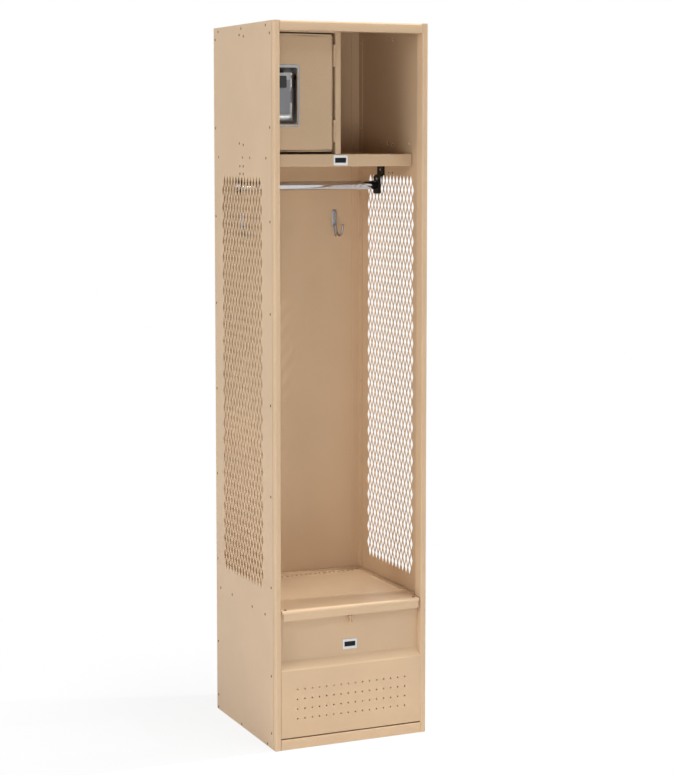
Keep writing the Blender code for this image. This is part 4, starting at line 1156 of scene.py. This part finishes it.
class LOCKER_OT_seat(Operator):
    """The seat lid with its rolled front edge, and the rubber studs in it"""

    bl_idname = "locker.seat"
    bl_label = "Seat lid"

    def execute(self, context):
        sizes = context.scene.locker_sizes
        low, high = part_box("seat_lid")
        holes = bmesh.new()
        path = [(low.y, low.z), (low.y, high.z), (high.y, high.z)]
        lid = bent_sheet("rolled_seat", path, [8 * MM], -1, "x", low.x, high.x)
        # Notches in the rear edge clear the hinge's fixed knuckles
        near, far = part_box("seat_hinge_fixed")
        for start, end in knuckles(near.x, far.x, sizes.seat_knuckles, True, 0):
            notch = oblong(start, end, high.y - NOTCH, high.y + MM)
            add_prism(holes, notch, "z", high.z - 5 * MM, high.z + MM)
        # The front flange stops short of the stiles, which leaves the dark gap at its ends
        for start, end in ((low.x - MM, low.x + 3 * MM), (high.x - 3 * MM, high.x + MM)):
            gap = oblong(start, end, low.y - MM, low.y + 4 * MM)
            add_prism(holes, gap, "z", low.z - MM, high.z - 9 * MM)
        for word in ("left", "right"):
            near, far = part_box(f"lid_bumper_{word}")
            spot = ((near.x + far.x) / 2, (near.y + far.y) / 2)
            add_prism(holes, circle(*spot, 2.5 * MM, 24), "z", high.z - 5 * MM, high.z + MM)
            bm = bmesh.new()
            base, head = high.z + FIT, 4 * MM
            rise = far.z - base
            profile = [(2.2 * MM, near.z), (2.2 * MM, base)] + [
                (wide * head, base + share * rise) for wide, share in (
                    (1, 0), (1, 0.35), (0.94, 0.62), (0.78, 0.84), (0.5, 0.97), (0.1, 1))
            ]
            add_turned(bm, profile, spot, "z", 32)
            dress(object_from(bm, f"rubber_stud_{word}"), "rubber", "seat",
                  [f"lid_bumper_{word}"], smooth=50)
        cut(lid, object_from(holes, "seat_tool"))
        dress(lid, "powder_coat", "seat", ["seat_lid"], sizes.edge)
        return {"FINISHED"}


class LOCKER_OT_seat_hinge(Operator):
    """The continuous hinge behind the seat, with fine knuckles and its pin"""

    bl_idname = "locker.seat_hinge"
    bl_label = "Seat hinge"

    def execute(self, context):
        sizes = context.scene.locker_sizes
        low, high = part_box("seat_hinge_fixed")
        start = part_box("seat_hinge_moving")[0].y
        spot, ends = (low.y + BARREL, high.z - BARREL), (low.x, high.x)
        upper = SEAT_TOP - SHEET - FIT
        lower = upper - LEAF
        for kind, odd, plate, web, body in (
            ("fixed", True, (spot[0] + CLEAR, high.y), (spot[0], high.y), "cabinet"),
            ("moving", False, (start, spot[0] - CLEAR - NOTCH), (start, spot[0]), "seat"),
        ):
            bm = bmesh.new()
            spans = knuckles(*ends, sizes.seat_knuckles, odd, 0.8 * MM)
            add_leaf(bm, "x", spans, ends, oblong(*plate, lower, upper),
                     oblong(*web, lower, upper), spot)
            node = f"seat_hinge_{kind}"
            dress(object_from(bm, f"rolled_{node}"), "powder_coat", body, [node])
        carry_over("seat_hinge_pin", "zinc", 0.2 * MM)
        return {"FINISHED"}


class LOCKER_OT_foot_locker(Operator):
    """The foot locker's front: recessed panel, slope, and face with rows of vents"""

    bl_idname = "locker.foot_locker"
    bl_label = "Foot locker front"

    def execute(self, context):
        sizes = context.scene.locker_sizes
        low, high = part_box("foot_locker_front")
        face, foot, panel = FRONT + 1 * MM, FRONT + 44 * MM, FRONT + 22 * MM
        path = [
            (foot, low.z), (foot, 32 * MM), (face, 32 * MM), (face, 221 * MM),
            (panel, 242 * MM), (panel, high.z), (panel + 20 * MM, high.z),
        ]
        radii = [0, 2.5 * MM, 8 * MM, 5 * MM, 2.5 * MM]
        reach = OPEN_HALF - FIT
        item = bent_sheet("vented_front", path, radii, -1, "x", -reach, reach)
        bm = bmesh.new()
        for row in range(4):
            for column in range(16):
                spot = ((column - 7.5) * 21.63 * MM, (166 - row * 27.3) * MM)
                profile = [
                    (sizes.vent_radius + grow * MM, face + depth * MM)
                    for grow, depth in ((0.9, -0.5), (0.4, 0), (0, 0.4), (0, 3))
                ]
                add_turned(bm, profile, spot, "y")
        cut(item, object_from(bm, "vent_tool"))
        dress(item, nodes=["foot_locker_front"], edge=sizes.edge)
        return {"FINISHED"}


class LOCKER_OT_hasp(Operator):
    """The two upright eyes for a padlock, on the panel and under the seat"""

    bl_idname = "locker.hasp"
    bl_label = "Hasp eyes"

    def execute(self, context):
        low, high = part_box("hasp_eye")
        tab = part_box("lid_hasp_tab")
        hole = ((low.y + tab[1].y) / 2 - 1.35 * MM, (low.z + high.z) / 2)
        for node, body in (("hasp_eye", "cabinet"), ("lid_hasp_tab", "seat")):
            near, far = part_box(node)
            outline = rounded_rectangle(near.y, near.z, far.y, far.z, 3 * MM)
            item = pierced_sheet(
                f"punched_{node}", outline, [round_hole(*hole, 4.5 * MM, 28)], "x",
                near.x, far.x, 0.25 * MM,
            )
            dress(item, "powder_coat", body, [node], 0.3 * MM)
        return {"FINISHED"}


class LOCKER_OT_number_plates(Operator):
    """Blank number plates: a brushed aluminium frame round a dark enamel field"""

    bl_idname = "locker.number_plates"
    bl_label = "Number plates"

    def execute(self, context):
        for word in ("shelf", "base"):
            low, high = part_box(f"{word}_number_plate")
            bm = bmesh.new()
            add_stepped(bm, low, high, [
                (side * MM, end * MM, max(3 - side / 2, 1) * MM, y)
                for side, end, y in (
                    (0, 0, high.y), (0, 0, low.y + 0.35 * MM), (0.35, 0.35, low.y),
                    (4.6, 6.8, low.y), (4.9, 7.1, low.y + 0.3 * MM), (5, 7.2, high.y - 0.2 * MM))
            ])
            dress(object_from(bm, f"pressed_{word}_plate"), "plate",
                  nodes=[f"{word}_number_plate"])
            outline = rounded_rectangle(
                low.x + 4.9 * MM, low.z + 7.1 * MM, high.x - 4.9 * MM, high.z - 7.1 * MM, 1 * MM
            )
            field = prism(
                f"{word}_plate_field", outline, "y", low.y + 0.35 * MM, high.y - 0.1 * MM
            )
            dress(field, "plate_field", edge=0.1 * MM)
        return {"FINISHED"}


# Depth and height of each fastener that shows on the inner walls; the deep ones hold
# the rear uprights
INNER_FASTENERS = [
    (118, 1948), (118, 1655), (300, 1655),
    (441, 1948), (441, 1698), (441, 1197), (441, 949), (441, 700),
]


class LOCKER_OT_inner_fasteners(Operator):
    """Small domed nuts on the inner walls, where screws come through"""

    bl_idname = "locker.inner_fasteners"
    bl_label = "Inner fasteners"

    def execute(self, context):
        bm = bmesh.new()
        for side in (-1, 1):
            for depth, z in INNER_FASTENERS:
                wall = side * (WALL - 0.05 * MM if depth < 430 else LINE - SHEET)
                profile = [
                    (radius * MM, wall - side * rise * MM)
                    for radius, rise in ((3.4, 0), (3.4, 0.8), (2.9, 1.8), (1.8, 2.5), (0.4, 2.8))
                ]
                add_turned(bm, profile, (FRONT + depth * MM, z * MM), "x")
        dress(object_from(bm, "inner_domes"), "powder_coat", smooth=180)
        return {"FINISHED"}


# Stage

def add_lamp(name, spot, target, size, power):
    data = bpy.data.lights.new(name, "AREA")
    data.shape = "RECTANGLE"
    data.size, data.size_y = size
    data.energy = power
    lamp = bpy.data.objects.new(name, data)
    bpy.context.scene.collection.objects.link(lamp)
    lamp.location = spot
    lamp.rotation_euler = (Vector(target) - lamp.location).to_track_quat("-Z", "Y").to_euler()


def empty_tree(block):
    block.use_nodes = True
    block.node_tree.nodes.clear()
    return block.node_tree


def seen_ray(tree):
    """1 for rays that should meet the white background, 0 for the rest."""
    path = add_node(tree, "ShaderNodeLightPath").outputs
    seen = path["Is Camera Ray"]
    for kind in ("Is Glossy Ray", "Is Transmission Ray"):
        seen = add_node(
            tree, "ShaderNodeMath", {0: seen, 1: path[kind]}, operation="MAXIMUM"
        ).outputs[0]
    return seen


class LOCKER_OT_stage(Operator):
    """Pale floor, even room light, soft lamps and the camera"""

    bl_idname = "locker.stage"
    bl_label = "Floor, lamps and camera"

    def execute(self, context):
        scene = context.scene
        stage, colours = scene.locker_stage, scene.locker_colours
        floor_mesh = bmesh.new()
        bmesh.ops.create_grid(floor_mesh, x_segments=8, y_segments=8, size=30)
        floor = object_from(floor_mesh, "paper_floor")
        floor.location.z = -0.2 * MM
        made = bpy.data.materials.new("pale_paper")
        tree = empty_tree(made)
        spots = add_node(tree, "ShaderNodeTexCoord").outputs["Object"]
        # Paper fibres are finer than the render shows, so they are drawn at 4 mm
        fibre = add_node(
            tree, "ShaderNodeTexNoise", {"Vector": spots, "Scale": 1 / (4 * MM), "Detail": 3.0}
        )
        tone = two_tone(tree, fibre.outputs["Fac"], colours.floor, 0.99, 1.01)
        paper = add_node(tree, "ShaderNodeBsdfDiffuse", {"Color": tone})
        glow = add_node(tree, "ShaderNodeEmission", {"Color": (1, 1, 1, 1), "Strength": 1.0})
        seen = seen_ray(tree)
        # Near the locker the paper shows its shadow; further out it melts into white
        away = add_node(tree, "ShaderNodeVectorMath", {0: spots}, operation="LENGTH")
        fade = add_node(
            tree, "ShaderNodeMapRange",
            {"Value": away.outputs["Value"], "From Min": 0.25, "From Max": 1.6,
             "To Min": 0.87, "To Max": 1.0},
            interpolation_type="SMOOTHSTEP",
        )
        share = add_node(
            tree, "ShaderNodeMath", {0: fade.outputs["Result"], 1: seen}, operation="MULTIPLY"
        )
        both = add_node(
            tree, "ShaderNodeMixShader",
            {0: share.outputs[0], 1: paper.outputs[0], 2: glow.outputs[0]},
        )
        add_node(tree, "ShaderNodeOutputMaterial", {"Surface": both.outputs[0]})
        floor.data.materials.append(made)

        world = bpy.data.worlds.new("even_room")
        scene.world = world
        tree = empty_tree(world)
        white, room = (
            add_node(tree, "ShaderNodeBackground", {"Color": (1, 1, 1, 1), "Strength": power})
            for power in (1.0, stage.sky)
        )
        seen = seen_ray(tree)
        both = add_node(
            tree, "ShaderNodeMixShader", {0: seen, 1: room.outputs[0], 2: white.outputs[0]}
        )
        add_node(tree, "ShaderNodeOutputWorld", {"Surface": both.outputs[0]})

        add_lamp("key_lamp", (-5.1, -1.4, 2.2), (0, 0, 1.0), (1.8, 1.8), stage.key)
        add_lamp("front_lamp", (-2.2, -5.7, 0.6), (0, 0, 0.9), (1.6, 1.6), stage.fill)
        add_lamp("top_lamp", (1.0, -1.15, 8.0), (0.1, -0.3, 0.4), (2.4, 0.8), stage.top)
        add_lamp("glint_lamp", (1.5, -3.5, 3.9), (0, 0, 0.6), (0.6, 1.0), stage.glint)
        add_lamp("side_lamp", (1.9, -0.3, 3.9), (0.1, 0, 0.4), (0.03, 0.03), stage.side)

        data = bpy.data.cameras.new("viewpoint")
        data.sensor_width = 36
        data.lens = stage.camera_lens
        data.shift_y = stage.camera_shift
        data.clip_end = 100
        camera = bpy.data.objects.new("viewpoint", data)
        scene.collection.objects.link(camera)
        camera.location = stage.camera_place
        camera.rotation_euler = stage.camera_turn
        scene.camera = camera
        scene.view_settings.view_transform = "Standard"
        return {"FINISHED"}


OPERATORS = (
    LOCKER_OT_front_frame, LOCKER_OT_side_panels, LOCKER_OT_carcass, LOCKER_OT_hat_shelf,
    LOCKER_OT_box_frame, LOCKER_OT_box_door, LOCKER_OT_door_hinges, LOCKER_OT_handle,
    LOCKER_OT_coat_rod, LOCKER_OT_coat_hooks, LOCKER_OT_seat, LOCKER_OT_seat_hinge,
    LOCKER_OT_foot_locker, LOCKER_OT_hasp, LOCKER_OT_number_plates,
    LOCKER_OT_inner_fasteners, LOCKER_OT_stage,
)

GROUPS = {
    "locker_sizes": LockerSizes, "locker_colours": LockerColours, "locker_stage": LockerStage,
}


class LOCKER_PT_pieces(Panel):
    """The locker's pieces, with the sizes and colours that they use"""

    bl_idname = "LOCKER_PT_pieces"
    bl_label = "Wardrobe locker"
    bl_space_type = "VIEW_3D"
    bl_region_type = "UI"
    bl_category = "Locker"

    def draw(self, context):
        column = self.layout.column(align=True)
        for operator in OPERATORS:
            column.operator(operator.bl_idname)
        for group in GROUPS:
            box = self.layout.box()
            settings = getattr(context.scene, group)
            for key in settings.bl_rna.properties.keys():
                if key not in {"rna_type", "name"}:
                    box.prop(settings, key)


CLASSES = (*GROUPS.values(), *OPERATORS, LOCKER_PT_pieces)


def register():
    for kind in CLASSES:
        bpy.utils.register_class(kind)
    for name, kind in GROUPS.items():
        setattr(bpy.types.Scene, name, PointerProperty(type=kind))


def unregister():
    for name in GROUPS:
        delattr(bpy.types.Scene, name)
    for kind in reversed(CLASSES):
        bpy.utils.unregister_class(kind)


def main():
    register()
    bpy.ops.locker.front_frame()
    bpy.ops.locker.side_panels()
    bpy.ops.locker.carcass()
    bpy.ops.locker.hat_shelf()
    bpy.ops.locker.box_frame()
    bpy.ops.locker.box_door()
    bpy.ops.locker.door_hinges()
    bpy.ops.locker.handle()
    bpy.ops.locker.coat_rod()
    bpy.ops.locker.coat_hooks()
    bpy.ops.locker.seat()
    bpy.ops.locker.seat_hinge()
    bpy.ops.locker.foot_locker()
    bpy.ops.locker.hasp()
    bpy.ops.locker.number_plates()
    bpy.ops.locker.inner_fasteners()
    bpy.ops.locker.stage()


if __name__ == "__main__":
    main()
